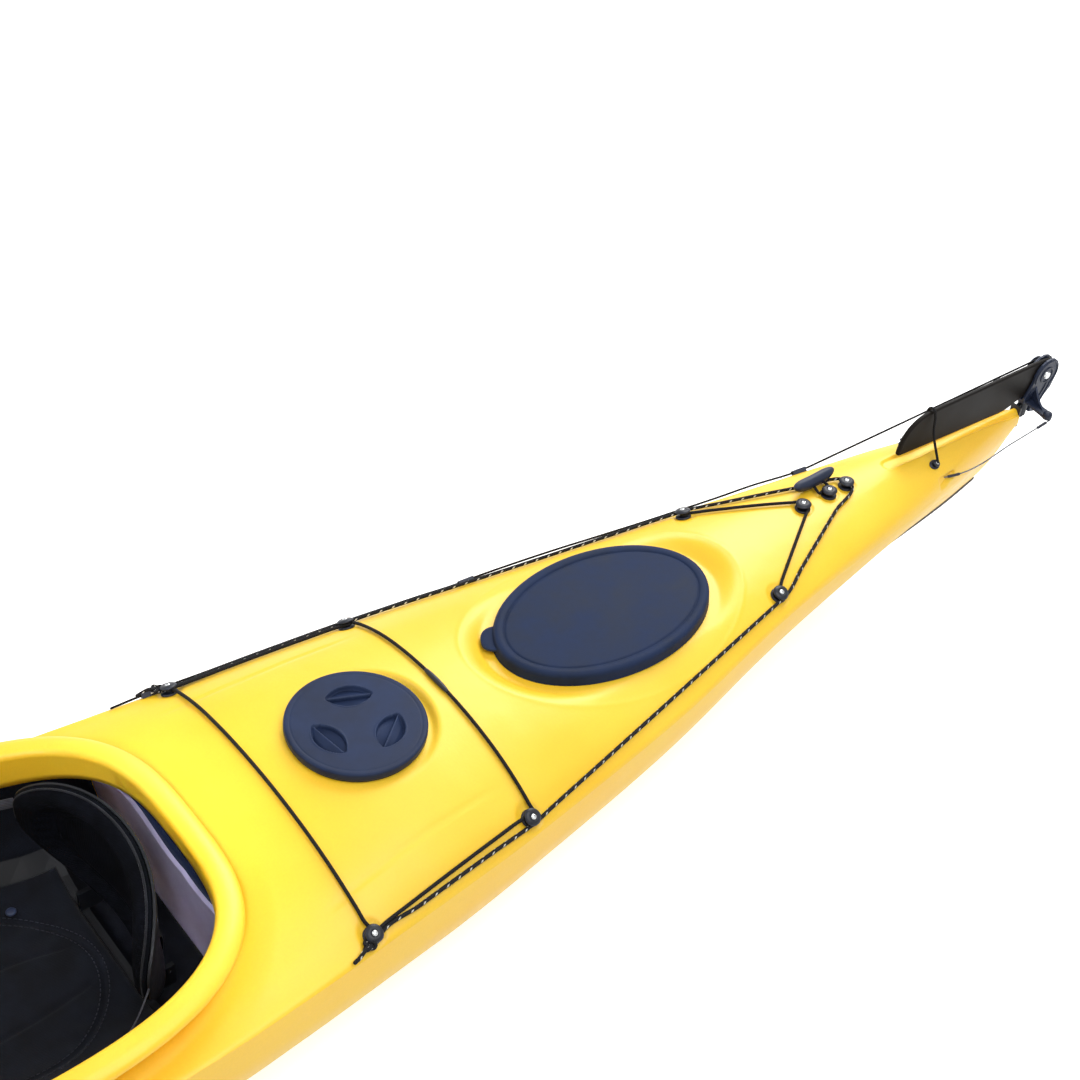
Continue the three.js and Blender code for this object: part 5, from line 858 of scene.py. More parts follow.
def makeOvalHatch(label, hatch, body):
    steps = ovalHatch["steps"]
    offsets, heights = np.array(ovalFace["offsets"], float), np.array(ovalFace["heights"], float)
    rings = ovalRings(offsets, heights, steps)
    a = np.arange(steps) * 2 * math.pi / steps
    # the short axis shrinks faster near the middle, so the inner rings stay ovals of positive size
    share = np.clip((ovalHatch["coverY"] + offsets) / ovalHatch["coverY"], 0, 1)[:, None]
    rings[..., 0] = (ovalHatch["coverX"] + np.maximum(offsets, -30))[:, None] * np.cos(a) * np.where(
        offsets[:, None] < -30, share / ((ovalHatch["coverY"] - 30) / ovalHatch["coverY"]), 1)
    points, faces = loftMesh(rings, [(0, 0, heights[0]), (0, 0, heights[-1])], True)
    cover = addPiece(f"oval_cover_{label}", onSeat(points, hatch), faces, body, looks["rubber"])
    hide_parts(f"hatch_cover_{label}")
    # pull tab: a tongue with a rounded end, thinner at its tip, rooted in the border
    side = 1 if label == "stern" else -1
    angle = ovalFace["tabAngle"]
    h = ovalHatch
    foot = np.array([(h["coverX"] - 9) * math.cos(angle), (h["coverY"] - 9) * math.sin(angle)])
    out = unit(np.array([math.cos(angle) / h["coverX"], math.sin(angle) / h["coverY"]]))
    b = np.arange(48) * 2 * math.pi / 48
    plan = np.stack([np.sign(np.cos(b)) * np.abs(np.cos(b)) ** 0.8 * (ovalFace["tabLong"] + 2),
                     np.sign(np.sin(b)) * np.abs(np.sin(b)) ** 0.75 * ovalFace["tabHalf"]], -1)
    low, high = ovalFace["tabLow"], ovalFace["tabHigh"]
    layers = []
    for grow, z in ((0.80, low + 0.9), (0.95, low), (0.995, low + 1.2), (1.0, (low + high) / 2),
                    (0.985, high - 1.0), (0.93, high), (0.80, high - 0.5), (0.4, high - 0.3)):
        p = plan * grow
        flat = foot + p[:, :1] * out + p[:, 1:] * np.array([-out[1], out[0]])
        droop = 3.0 * np.clip(p[:, 0] / ovalFace["tabLong"], 0, 1) ** 2
        layers.append(np.stack([flat[:, 0], flat[:, 1], z - droop], -1))
    points, faces = loftMesh(layers, [(*foot, low + 0.9), (*foot, high - 0.3)], side > 0)
    points[:, 1] *= side
    tab = addPiece(f"pull_tab_{label}", onSeat(points, hatch), faces, body, looks["rubber"])
    lipTop = h["rise"] - h["top"] - 0.3
    lip, inner, flangeOut = -h["lipIn"], -h["lipIn"] - h["lipWall"], -h["skirt"] - 1.6
    corners = [(inner, -h["neckDrop"]), (inner, lipTop - 1), (inner + 1.5, lipTop), (lip - 0.5, lipTop),
               (lip + 1.6, lipTop - 3), (lip, lipTop - 6), (lip, h["flange"]), (flangeOut - 1, h["flange"]),
               (flangeOut, h["flange"] - 1), (flangeOut, 0.3), (lip, 0.3), (lip, -h["neckDrop"])]
    profile = roundedLoop(corners, 3, sharp=range(12))
    ring = ovalRings(profile[:, 0], profile[:, 1], steps)
    faces = gridFaces(len(profile), steps, loopRows=True, loopColumns=True)
    points = onSeat(ring.reshape(-1, 3), hatch)
    piece = addPiece(f"oval_rim_{label}", points, faces, "kayak", looks["fitting"], 40)
    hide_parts(f"hatch_rim_{label}")


pocket = {"place": 51, "halfLong": 34, "halfWide": 20, "count": 3, "turn": 0.14,
          # depth across a pocket from its inner to its outer edge: hollow, fin, leaf, outer wall
          "across": [-1.0, -0.93, -0.74, -0.34, -0.10, -0.03, 0.05, 0.35, 0.72, 0.92, 1.0],
          "depth": [0.0, 8.0, 13.0, 13.6, 8.0, 2.6, 1.6, 4.8, 8.6, 6.2, 0.0]}


def makeDayHatch():
    d = dayHatch
    low = d["rise"] - d["top"]
    top, plug = d["rise"] + 0.4, -d["plugDrop"]
    steps, flat = 300, 88  # points round, and rings on the flat top
    edge = [(98.6, top), (99.6, top - 0.15), (100.6, top - 0.55), (101.4, top - 1.3), (101.9, top - 2.3),
            (102.0, top - 4), (102.0, 7.0), (101.6, 5.6), (100.4, 5.0), (98.5, 5.2), (98.5, low), (76.0, low),
            (76.0, plug + 1), (75.2, plug), (71.5, plug), (71.2, plug + 1), (71.2, low - 1.5)]
    profile = np.vstack([np.column_stack([np.linspace(0.9, 97.5, flat), np.full(flat, top)]), edge])
    a = np.arange(steps) * 2 * math.pi / steps
    r = profile[:, :1]
    x, y = r * np.cos(a), r * np.sin(a)
    height = np.broadcast_to(profile[:, 1:], x.shape).copy()
    # a shallow groove line near the edge, and the three finger pockets with their fins
    height[:flat] -= 0.35 * np.exp(-((r[:flat] - 93.5) / 0.9) ** 2)
    for k in range(pocket["count"]):
        turn = pocket["turn"] + 2 * math.pi * k / pocket["count"]
        c, s = math.cos(turn), math.sin(turn)
        radial = x[:flat] * c + y[:flat] * s - pocket["place"]
        along = -x[:flat] * s + y[:flat] * c
        lens = np.clip(1 - (along / pocket["halfLong"]) ** 2, 0, 1)
        half = pocket["halfWide"] * lens ** 0.75
        share = np.where(lens > 0, radial / np.maximum(half, 1e-3), 9)
        depth = np.interp(share, pocket["across"], pocket["depth"], left=0, right=0) * lens ** 0.3
        lip = 0.5 * np.exp(-((np.abs(share) - 1.06) / 0.07) ** 2) * (lens > 0.02)
        height[:flat] += lip - depth
    points, faces = loftMesh(np.stack([x, y, height], -1), [(0, 0, top), (0, 0, low - 1.5)])
    cover = addPiece("day_cover_disc", onSeat(points, d), faces, "day_lid", looks["dayCover"])
    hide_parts("day_hatch_cover")
    inner, neck, flange, thick = d["neck"] - d["neckWall"], d["neck"], d["flange"], d["flangeThick"]
    points, faces = ringMesh([(inner, -d["neckDrop"]), (neck, -d["neckDrop"]), (neck, 0.3), (flange, 0.3),
                              (flange, thick - 0.8), (flange - 0.8, thick), (d["sealIn"] - 0.3, thick),
                              (d["sealIn"] - 0.3, d["rimRise"] - 0.6), (d["sealIn"] - 0.9, d["rimRise"]),
                              (inner + 0.6, d["rimRise"]), (inner, d["rimRise"] - 0.6)], 160)
    piece = addPiece("day_rim_ring", onSeat(points, d), faces, "kayak", looks["fitting"], 40)
    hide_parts("day_hatch_rim")
    across, tall = (d["sealOut"] - d["sealIn"]) / 2, (low - 0.3 - thick - 0.3) / 2
    middle = ((d["sealOut"] + d["sealIn"]) / 2, thick + 0.3 + tall)
    points, faces = ringMesh(middle + circle(1, 16) * (across, tall), 160)
    piece = addPiece("day_seal_ring", onSeat(points, d), faces, "day_lid_ring", looks["rubber"])
    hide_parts("day_hatch_seal")


# Deck fittings and lines

cap = {
    "profile": [(0, 0.2), (13.0, 0.2), (13.3, 1.4), (13.0, 2.8), (12.0, 3.5), (7.0, 3.7), (5.3, 4.3),
                (5.1, 6.8), (5.4, 9.4), (8.4, 10.1), (12.0, 10.3), (12.9, 10.9), (13.1, 11.8), (12.5, 13.0),
                (10.6, 14.2), (7.8, 15.0), (5.6, 15.2), (5.0, 14.7), (4.5, 14.2), (0, 14.1)],
    "screw": [(0, 13.9), (4.1, 14.0), (4.2, 15.0), (3.7, 15.8), (2.4, 16.4), (1.5, 16.55), (1.4, 15.2),
              (0, 15.1)],
    "turns": [0.4, 1.1, 2.0, 0.2, 0.9, 1.7, 2.6, 0.7, 1.5, 0.3],
}


def makeFittings():
    for (name, (foot, normal)), turn in zip(fittings.items(), cap["turns"]):
        points, faces = turnedMesh(cap["profile"], 40)
        a = np.arctan2(points[:, 1], points[:, 0])
        outer = np.hypot(points[:, 0], points[:, 1])
        # hand grip flats, barely there
        wave = 1 + 0.018 * np.cos(3 * a + turn) * (outer > 9) * (points[:, 2] > 9)
        points[:, :2] *= wave[:, None]
        points = standOn(points, foot, normal, turn)
        piece = addPiece("cap_of_" + name, points, faces, "kayak", looks["fitting"], 50)
        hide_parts(name)
        points, faces = turnedMesh(cap["screw"], 24)
        points = standOn(points, foot, normal, turn)
        screw = addPiece("screw_of_" + name, points, faces, "kayak", looks["steel"], 35)


def mirrored(half, middle=()):
    # a route from port to starboard: its port half, its middle points, and the half walked back mirrored
    return [*half, *middle, *[(x, -y, z) for x, y, z in half[::-1]]]


routes = {  # metres, taken over from the frame's own lines
    "perimeter_line": mirrored([
        (-.6659, .2714, .2036), (-.6741, .2755, .2011), (-.6823, .2712, .203), (-.7523, .2636, .2041),
        (-.8921, .2485, .2029), (-.962, .2409, .2006), (-.9676, .2401, .2005), (-.9967, .2344, .2024),
        (-1.0779, .2185, .2053), (-1.1954, .1954, .2089), (-1.3257, .1698, .2137), (-1.4432, .1467, .218),
        (-1.5245, .1308, .2212), (-1.5535, .1251, .2221), (-1.5606, .1236, .2224), (-1.6263, .0946, .2313),
        (-1.7577, .0367, .2452), (-1.8235, .0078, .2486)], [(-1.8275, 0, .2486)]),
    "bungee_loop": [
        *mirrored([
            (-.6775, .2591, .2094), (-.6831, .2641, .2066), (-.6966, .2624, .2079), (-.7344, .2576, .2089),
            (-.7891, .2506, .2102), (-.8498, .2429, .2107), (-.9045, .236, .2105), (-.9423, .2312, .2101),
            (-.9558, .2295, .2091), (-.9641, .2254, .2112), (-.9707, .2275, .2091), (-.9707, .2183, .2163),
            (-.9707, .1914, .2317), (-.9707, .149, .2497), (-.9707, .0945, .2639), (-.9707, .0324, .2715)]),
        (-.6774, -.2505, .2149), (-.6771, -.2252, .227), (-.6767, -.185, .2417), (-.6761, -.1326, .2536),
        (-.6754, -.0716, .2619), (-.6746, -.0061, .2654), (-.6739, .0594, .263), (-.6732, .1204, .2558),
        (-.6726, .1728, .2444), (-.6722, .213, .2312), (-.6719, .2383, .2213), (-.6718, .2469, .2168),
        (-.6728, .2525, .2132), (-.675, .2578, .21)],
    "rear_bungee": mirrored([
        (-1.5505, .109, .2292), (-1.56, .1089, .2287), (-1.5754, .0993, .2319), (-1.6155, .0741, .2383),
        (-1.6652, .043, .2446), (-1.7054, .0178, .2478), (-1.7207, .0082, .2483)], [(-1.7255, 0, .2484)]),
    "haul_line": [
        (-.5893, -.2861, .2001), (-.6353, -.2841, .1991), (-.6651, -.281, .1995), (-.7366, -.2728, .199),
        (-.8081, -.2654, .1985), (-.8796, -.2574, .198), (-.951, -.2487, .1975), (-1.0225, -.2384, .197),
        (-1.094, -.228, .1964), (-1.1655, -.2163, .1959), (-1.1952, -.2122, .1972), (-1.2697, -.2001, .1993),
        (-1.3443, -.1862, .2014), (-1.4188, -.1708, .2034), (-1.4934, -.1554, .2055), (-1.5679, -.1412, .2076),
        (-1.6425, -.1273, .2097), (-1.717, -.115, .2117), (-1.7916, -.0986, .2138), (-1.8212, -.0941, .2147),
        (-1.84, -.0911, .2178), (-1.8936, -.0827, .2265), (-1.9737, -.0701, .2395), (-2.0682, -.0553, .2549),
        (-2.1627, -.0404, .2703), (-2.2428, -.0279, .2833), (-2.2963, -.0195, .292), (-2.3151, -.0165, .2951)],
    "rudder_cable_port": [(-2.0012, .0418, .2002), (-2.043, .0599, .204), (-2.1883, .064, .2144),
                          (-2.2774, .0665, .2256)],
    "rudder_cable_starboard": [(-2.0012, -.0418, .2002), (-2.043, -.0599, .204), (-2.1883, -.064, .2144),
                               (-2.2774, -.0665, .2256)],
    "hold_down_bungee": mirrored([(-2.005, .0413, .2364), (-2.008, .0154, .2851), (-2.01, .0088, .3151),
                                  (-2.01, .0058, .3228)], [(-2.01, 0, .3257)]),
}
# thickness of each kind of line as its radius, in millimetres
lineSize = {"perimeter": 2.9, "bungee": 2.7, "haul": 1.8, "cable": 1.2, "hold": 2.4}


def restedOn(path, radius):
    # where a line would dip into the deck it is lifted to lie on it
    path = np.asarray(path, float)
    ground = deckHeightAt(path[:, 0], path[:, 1])
    level = np.maximum(path[:, 2], ground + radius + 0.1)
    inside = np.abs(path[:, 1]) < sectionAt(path[:, 0])["half"] * 0.985
    path = path.copy()
    path[:, 2] = np.where(inside, level, path[:, 2])
    kernel = np.array([1, 2, 3, 2, 1]) / 9
    padded = np.pad(path[:, 2], 2, mode="edge")
    lowest = np.where(inside, ground + 0.6 * radius, -99)
    path[:, 2] = np.maximum(np.convolve(padded, kernel, "valid"), lowest)
    return path


def makeLines():
    plan = (("perimeter_line", "perimeter", "perimeter", 12, 4), ("bungee_loop", "bungee", "bungee", 12, 4),
            ("rear_bungee", "bungee", "bungee", 12, 4), ("haul_line", "haul", "bungee", 10, 6))
    for name, kind, look, sides, step in plan:
        path, radius = throughPoints(np.array(routes[name]) * 1000, step), lineSize[kind]
        turns = name == "haul_line"
        body = None if turns else "kayak"
        piece = tubePiece("cord_" + name, restedOn(path, radius), radius, body, looks[look], sides)
        if turns:
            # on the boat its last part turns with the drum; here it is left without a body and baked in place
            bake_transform(piece)
        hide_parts(name)
    for side in ("port", "starboard"):
        path = throughPoints(np.array(routes["rudder_cable_" + side]) * 1000, 5)
        piece = tubePiece("wire_" + side, path, lineSize["cable"], None, looks["cableSteel"], 8)
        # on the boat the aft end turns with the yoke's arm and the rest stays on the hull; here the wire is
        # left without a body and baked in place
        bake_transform(piece)
        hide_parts("rudder_cable_" + side)
        # swaged sleeve a little aft of the slot, and the ferrule at the yoke
        for share, long in ((0.16, 22), (0.93, 16)):
            middle = int(share * (len(path) - 1))
            reach = max(2, int(long / 10))
            part = path[max(0, middle - reach):middle + reach + 1]
            onHull = "kayak" if share < 0.5 else None
            sleeve = tubePiece(f"sleeve_{side}_{int(share * 100)}", part, 2.6, onHull, looks["fitting"], 12)
            if not onHull:
                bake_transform(sleeve)
    path = throughPoints(np.array(routes["hold_down_bungee"]) * 1000, 2.5)
    piece = tubePiece("cord_hold_down", path, lineSize["hold"], "kayak", looks["bungee"], 12,
                      upward=(1, 0, 0))
    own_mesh(piece)
    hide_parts("hold_down_bungee")
    # crimp sleeve that joins the bungee's ends on the rear crossing
    path = throughPoints(np.array(routes["bungee_loop"]) * 1000, 3)
    path = restedOn(path, 4.2)
    near = np.flatnonzero((np.abs(path[:, 0] + 970.7) < 2) & (np.abs(path[:, 1] + 6) < 27))
    part = path[near]
    t = np.linspace(-1, 1, len(part))
    radii = 4.3 * (1 - 0.28 * np.abs(t) ** 3)
    sleeve = tubePiece("bungee_sleeve", part + np.array([0, 0, 0.3]), radii, "kayak", looks["fitting"], 16)


def makeKnots():
    # overhand knots where the perimeter line and the bungee end at the front fittings
    for side, label in ((1, "port"), (-1, "starboard")):
        foot, normal = fittings["deck_fitting_%s_front" % label]
        base = np.array(foot) + np.array(normal) * 7.0
        t = np.linspace(0, 2 * math.pi, 29)
        trefoil = np.stack([np.sin(t) + 2 * np.sin(2 * t), np.cos(t) - 2 * np.cos(2 * t), -np.sin(3 * t)], -1)
        lump = base + np.array([14, side * 11, -1.0]) + trefoil * np.array([2.9, 2.6, 2.2])
        path, radius = throughPoints(lump[:-1], 1.6), lineSize["perimeter"]
        piece = tubePiece(f"knot_{label}", path, radius * 0.95, "kayak", looks["perimeter"], 10)
        start = base + np.array([16, side * 12, 0])
        tail = [start, start + np.array([9, side * 4, 0.5]), start + np.array([18, side * 6.5, -3.0]),
                start + np.array([26, side * 7.5, -5.5])]
        path = throughPoints(tail, 2)
        piece = tubePiece(f"knot_tail_{label}", path, radius, "kayak", looks["perimeter"], 10)


grip = {"half": 46, "tall": 13.2, "wide": 10.6, "points": 56, "sides": 32}
grips = {
    "stern": {"place": (-1769, -31), "lift": 17, "body": "stern_grip", "foot": "deck_fitting_toggle_front"},
    "bow": {"place": (1968, 31), "lift": 17, "body": "bow_grip", "foot": "deck_fitting_bow"},
}


def makeToggles():
    for label, g in grips.items():
        x0, y0 = g["place"]
        z0 = float(deckHeightAt(x0, y0, False)[0]) + g["lift"]
        s = np.linspace(-1, 1, grip["points"])
        swell = np.sqrt(np.clip(1 - np.abs(s) ** 3.0, 0, 1))
        swell = np.maximum(swell * (1 - 0.05 * np.cos(math.pi * s)), 0.02)
        a = np.arange(grip["sides"]) * 2 * math.pi / grip["sides"]
        bend = 4.0 * s ** 2  # the ends turn up a little
        x = np.broadcast_to((grip["half"] * s)[:, None], (len(s), len(a)))
        y = grip["wide"] * swell[:, None] * np.cos(a)
        z = grip["tall"] * swell[:, None] * np.where(np.sin(a) > 0, 0.78, 1.0) * np.sin(a) + bend[:, None]
        rings = np.stack([x0 + x, y0 + y, z0 + z - 1.0], -1)
        reach = grip["half"] + 0.2
        points, faces = loftMesh(rings, [(x0 - reach, y0, z0 + 3.0), (x0 + reach, y0, z0 + 3.0)], True)
        piece = addPiece(f"grip_{label}", points, faces, g["body"], looks["toggle"])
        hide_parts(f"{label}_toggle")
        side = math.copysign(1, y0)
        foot = np.array(fittings[g["foot"]][0])
        ring = foot + np.array([0, 0, 7.0])
        around = [ring + (x, side * y, z) for x, y, z in ((16, 6.5, 0.5), (8, 8.6, 0), (0, 8.6, 0),
                                                          (-8, 8.2, 0.4))]
        loop = [(x0 + 4, y0 - side * 4, z0 - 5), (x0 + 8, y0 - side * 15, z0 - 7), *around,
                (x0 - 17, y0 - side * 15, z0 - 7), (x0 - 13, y0 - side * 4, z0 - 5)]
        piece = tubePiece(f"grip_cord_{label}", throughPoints(loop, 2.5), 2.5, None, looks["bungee"], 12)
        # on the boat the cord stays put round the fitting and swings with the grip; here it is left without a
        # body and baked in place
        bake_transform(piece)


holdDown = {
    "x": -2004, "y": 36,
    "post": [(0, 0.1), (8.6, 0.1), (8.9, 1.2), (8.2, 2.4), (5.0, 2.9), (4.0, 3.4), (5.2, 4.2), (6.8, 5.6),
             (7.0, 6.9), (6.2, 8.2), (4.4, 9.0), (3.6, 8.7), (0, 8.6)],
    "screw": [(0, 8.4), (3.3, 8.5), (3.4, 9.1), (2.6, 9.9), (1.2, 10.1), (1.1, 9.2), (0, 9.1)],
}


def makeHoldDown():
    # a low post with a ball on each side of the groove, a screw in its head
    for side, name in ((1, "hold_down_ball"), (-1, "hold_down_hook")):
        x, y = holdDown["x"], side * holdDown["y"]
        normal = deckNormalAt(np.array([float(x)]), np.array([float(y)]))[0]
        foot = np.array([x, y, float(deckHeightAt(x, y, False)[0]) + 0.3])
        points, faces = turnedMesh(holdDown["post"], 32)
        points[:, 0] *= np.where(points[:, 2] < 3, 1.35, 1.0)
        piece = addPiece("post_" + name, standOn(points, foot, normal), faces, "kayak", looks["fitting"], 50)
        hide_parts(name)
        points, faces = turnedMesh(holdDown["screw"], 20)
        screw = addPiece("screw_" + name, standOn(points, foot, normal), faces, "kayak", looks["steel"], 35)


skid = {"fromX": -2186, "toX": -1761, "wrap": 30, "thick": 3.4}


def makeSkid():
    # wear strip on the stern keel: the hull's own surface set out by its thickness, thinning to its border
    columns, half = 150, 20
    places = np.linspace(skid["fromX"], skid["toX"], columns)
    t = np.linspace(0, 1, columns)
    reach = 7 + skid["wrap"] * np.sin(math.pi * t ** 0.6)  # highest towards the stern
    share = np.linspace(-1, 1, 2 * half + 1)
    y, z = hullBand(places, sectionAt(places)["keel"] + reach, share)
    grid = np.stack([np.broadcast_to(places[:, None], y.shape), y, z], -1)
    normal = unit(np.cross(np.gradient(grid, axis=1), np.gradient(grid, axis=0)))
    normal = np.where(normal[..., 2:] > 0.2, -normal, normal)
    edge = np.minimum(1 - np.abs(share)[None, :], np.minimum(t, 1 - t)[:, None] * 8)
    grid = grid + normal * (skid["thick"] * np.sqrt(np.clip(edge / 0.12, 0, 1)) - 0.4)[..., None]
    faces = gridFaces(columns, 2 * half + 1)[:, ::-1]
    piece = addPiece("wear_strip", grid.reshape(-1, 3), faces, "kayak", looks["skid"])
    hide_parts("keel_skid_plate")


rudderHead = {
    "foot": (-2285, 225), "tilt": 0.0577, "hub": (-30, 52), "face": 10.0, "ring": 28.5, "boss": 15.0,
    "bead": 1.9, "arm": (7, 59), "plateTop": 7.0, "webThick": 2.4,
    "knob": [(0, 0), (8.2, 0), (8.6, 1.4), (8.4, 8.5), (7.4, 11.2), (4.8, 12.9), (0, 13.4)],
}


def onRudder(points):
    # from the rudder's own upright frame at the pintle's foot into the boat's
    p = np.asarray(points, float)
    c, s = math.cos(rudderHead["tilt"]), math.sin(rudderHead["tilt"])
    x, z = rudderHead["foot"]
    return np.stack([x + c * p[:, 0] - s * p[:, 2], p[:, 1], z + s * p[:, 0] + c * p[:, 2]], -1)


bladeShape = {
    # outline from the foot round the tip and back along the top to the root, in the rudder's upright frame
    "outline": [(62, 0.8), (130, 2.0), (210, 4.0), (290, 6.4), (330, 8.0), (342, 8.4), (347, 10.5), (348, 16),
                (347.2, 24), (345, 35), (340, 47.5), (331.8, 59), (321, 68), (309.5, 74), (297, 77.6),
                (284, 79.6), (262, 80.6), (210, 81.2), (140, 82), (70, 83), (10, 83.5), (-14, 83.0),
                (-30, 82.0), (-44, 78.5), (-55, 69), (-60, 56), (-58.5, 42), (-52, 32), (-40, 25), (-20, 22.4),
                (0, 19), (15, 15), (30, 10.8)],
    "half": 4.4,
}


def makeBlade():
    # cut from plate: both faces flat, the border ground to a long bevel and a rounded edge
    b = bladeShape
    outline = roundedLoop(b["outline"], 8)
    ahead, behind = np.roll(outline, -1, axis=0), np.roll(outline, 1, axis=0)
    along = unit(ahead - behind)
    inward = np.stack([-along[:, 1], along[:, 0]], -1)
    rows = [(4.2, 1.0), (3.0, 0.99), (1.5, 0.86), (0.5, 0.6), (0.1, 0.3), (0, 0.0)]
    rings = [(outline + inward * inset, b["half"] * share) for inset, share in rows]
    rings += [(flat, -half) for flat, half in rings[-2::-1]]
    rings = [np.column_stack([flat[:, 0], np.full(len(flat), half), flat[:, 1]]) for flat, half in rings]
    points, faces = loftMesh(rings, None, True)
    blade = addPiece("blade_plate", onRudder(points), faces, "blade", looks["blade"], 35)
    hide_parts("rudder_blade")


def makeRudderHead():
    # beads and ribs on the cheeks, gusset webs from the cheeks to the arm tips, domed knobs over the horns
    h = rudderHead
    hubX, hubZ = h["hub"]
    for side, label in ((1, "port"), (-1, "starboard")):
        face = side * h["face"]
        for name, radius, first, last in (("rim", h["ring"], -0.35, 4.1),
                                          ("boss", h["boss"], 0, 2 * math.pi)):
            if side < 0 and name == "boss":
                continue  # the drum sits on that face
            t = np.linspace(first, last, 60)
            arc = np.stack([hubX + radius * np.cos(t), np.full(60, face), hubZ + radius * np.sin(t)], -1)
            piece = tubePiece(f"cheek_{name}_{label}", onRudder(arc), h["bead"], "rudder_head",
                              looks["rudderNylon"], 10, upward=(0, 1, 0))
        ribs = [[(hubX - 24, hubZ - 16), (-45, 20), (-38, 2), (-24, -20)],
                [(hubX + 20, hubZ - 20), (2, 22), (-8, 9)], [(hubX - 8, hubZ - 16), (-34, 22), (-26, 4)]]
        for k, rib in enumerate(ribs):
            path = throughPoints([(x, face, z) for x, z in rib], 3)
            piece = tubePiece(f"cheek_rib_{label}_{k}", onRudder(path), h["bead"] * 0.9, "rudder_head",
                              looks["rudderNylon"], 10, upward=(0, 1, 0))
        # web: a hollow sided triangle in the plane across the boat
        steps = 16
        t = np.linspace(0, 1, steps)
        armX, armY = h["arm"]
        y = mix(h["face"] - 0.5, armY - 4, t)
        top = h["plateTop"] + 27 * (1 - t) ** 2.2
        x = mix(-9, armX - 2, t)
        bottom = np.full(steps, h["plateTop"] - 2)
        upper = np.stack([x, y * side, top], -1)
        lower = np.stack([x, y * side, bottom], -1)
        half = np.array([h["webThick"], 0, 0])
        grid = np.stack([lower - half, upper - half, upper + half, lower + half], 1)
        points, faces = loftMesh(grid, None, side > 0)
        web = addPiece(f"arm_web_{label}", onRudder(points), faces, "rudder_head", looks["rudderNylon"], 40)
        points, faces = turnedMesh(h["knob"], 28)
        points = onRudder(points + np.array([armX, side * armY, 0.5]))
        knob = addPiece(f"arm_knob_{label}", points, faces, "rudder_head", looks["rudderNylon"], 50)


makeBlade()
makeRudderHead()


# Cockpit

seat = {
    "rearX": -432, "frontX": -50, "halfWidth": 196, "panZ": 46, "sideRise": 62, "hipRise": 40, "thick": 5,
    "padThick": 26, "padHalfWidth": 172, "padInset": 12, "crown": 5,
}
back = {
    "radius": 255, "centreX": -474, "spread": 0.82, "lowZ": 106, "highZ": 302, "wingLift": 62, "wingDrop": 26,
    "shellThick": 5, "padThick": 24, "rimSwell": 13, "round": 3.2,
}


def seatRise(u, v):
    across = np.abs(2 * v - 1)
    hip = np.exp(-((u - 0.55) / 0.22) ** 2) * seat["hipRise"]
    rear = 16 * smooth((0.2 - u) / 0.2)
    front = 12 * smooth((u - 0.75) / 0.25)
    return seat["panZ"] + (seat["sideRise"] + hip) * across ** 4 + (rear + front) * (1 - across ** 2)


def seatPlan(u, v, lift, half, inset):
    # the seat's surface over its plan, set up by the lift
    s = seat
    narrow = 1 - 0.1 * smooth((0.35 - u) / 0.35) - 0.06 * smooth((u - 0.6) / 0.4)
    share = inset / (s["frontX"] - s["rearX"])
    x = mix(s["rearX"] + inset, s["frontX"] - inset, u)
    z = seatRise(mix(share, 1 - share, u), 0.5 + (v - 0.5) * half / s["halfWidth"]) + lift
    return np.stack([x, (2 * v - 1) * half * narrow, z], -1)


def makeSeatPad():
    n, m = 120, 120
    u, v = np.meshgrid(np.linspace(0, 1, n), np.linspace(0, 1, m), indexing="ij")
    soft = (np.sin(math.pi * u) ** 0.35) * (np.sin(math.pi * v) ** 0.35)
    a, b = 2 * u - 1, 2 * v - 1
    # a curved double seam, an inner panel with two channels, and short puckers that run in from the seam
    ring = np.hypot(a + 0.08, b * 1.02)
    seam = 3.2 * np.exp(-((ring - 0.80) / 0.022) ** 2)
    channel = sum(2.4 * np.exp(-((b + way * 0.30 * np.cos(a)) / 0.02) ** 2) for way in (-1, 1))
    channel = channel * smooth((0.78 - ring) / 0.1)
    angle = np.arctan2(b, a)
    pucker = 1.1 * np.sin(17 * angle + 2 * np.sin(3 * angle)) * np.exp(-((ring - 0.72) / 0.10) ** 2)
    crown = 4.0 * np.clip(1 - (ring / 0.8) ** 2, 0, 1)
    full = seat["padThick"] - 2 + seat["crown"]
    lift = seat["thick"] + 2 + full * soft - (seam + channel) * soft + pucker * soft + crown
    wide, inset = seat["padHalfWidth"], seat["padInset"]
    top, low = (seatPlan(u, v, height, wide, inset) for height in (lift, seat["thick"] + 0.6))
    points, faces = slabMesh(top, low)
    pad = addPiece("seat_cushion", points, faces, "kayak", looks["seatCloth"])
    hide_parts("seat_pad")
    # the two rows of stitches beside the seam, each stitch 5 mm long
    t = np.linspace(0, 2 * math.pi, 721)
    for k, radius in enumerate((0.765, 0.835)):
        a = radius * np.cos(t) - 0.08
        b = radius * np.sin(t) / 1.02
        ok = (np.abs(a) < 0.96) & (np.abs(b) < 0.96)
        uu, vv = (a[ok] + 1) / 2, (b[ok] + 1) / 2
        flat = (np.sin(math.pi * uu) ** 0.35) * (np.sin(math.pi * vv) ** 0.35)
        height = seat["thick"] + 2 + full * flat + 4.0 * max(1 - (radius / 0.8) ** 2, 0)
        line = seatPlan(uu, vv, height + 0.2, wide, inset)
        stitchLine(f"seat_stitches_{k}", line, "kayak")
    # press stud that holds the cover
    points, faces = turnedMesh([(0, -1), (7.5, -1), (7.6, 0.4), (6.6, 1.9), (4.0, 2.8), (0, 3.0)], 28)
    place = seatPlan(0.235, 0.135, 33.0, wide, inset)
    stud = addPiece("press_stud", standOn(points, place, (0, -0.1, 1)), faces, "kayak", looks["toggle"])


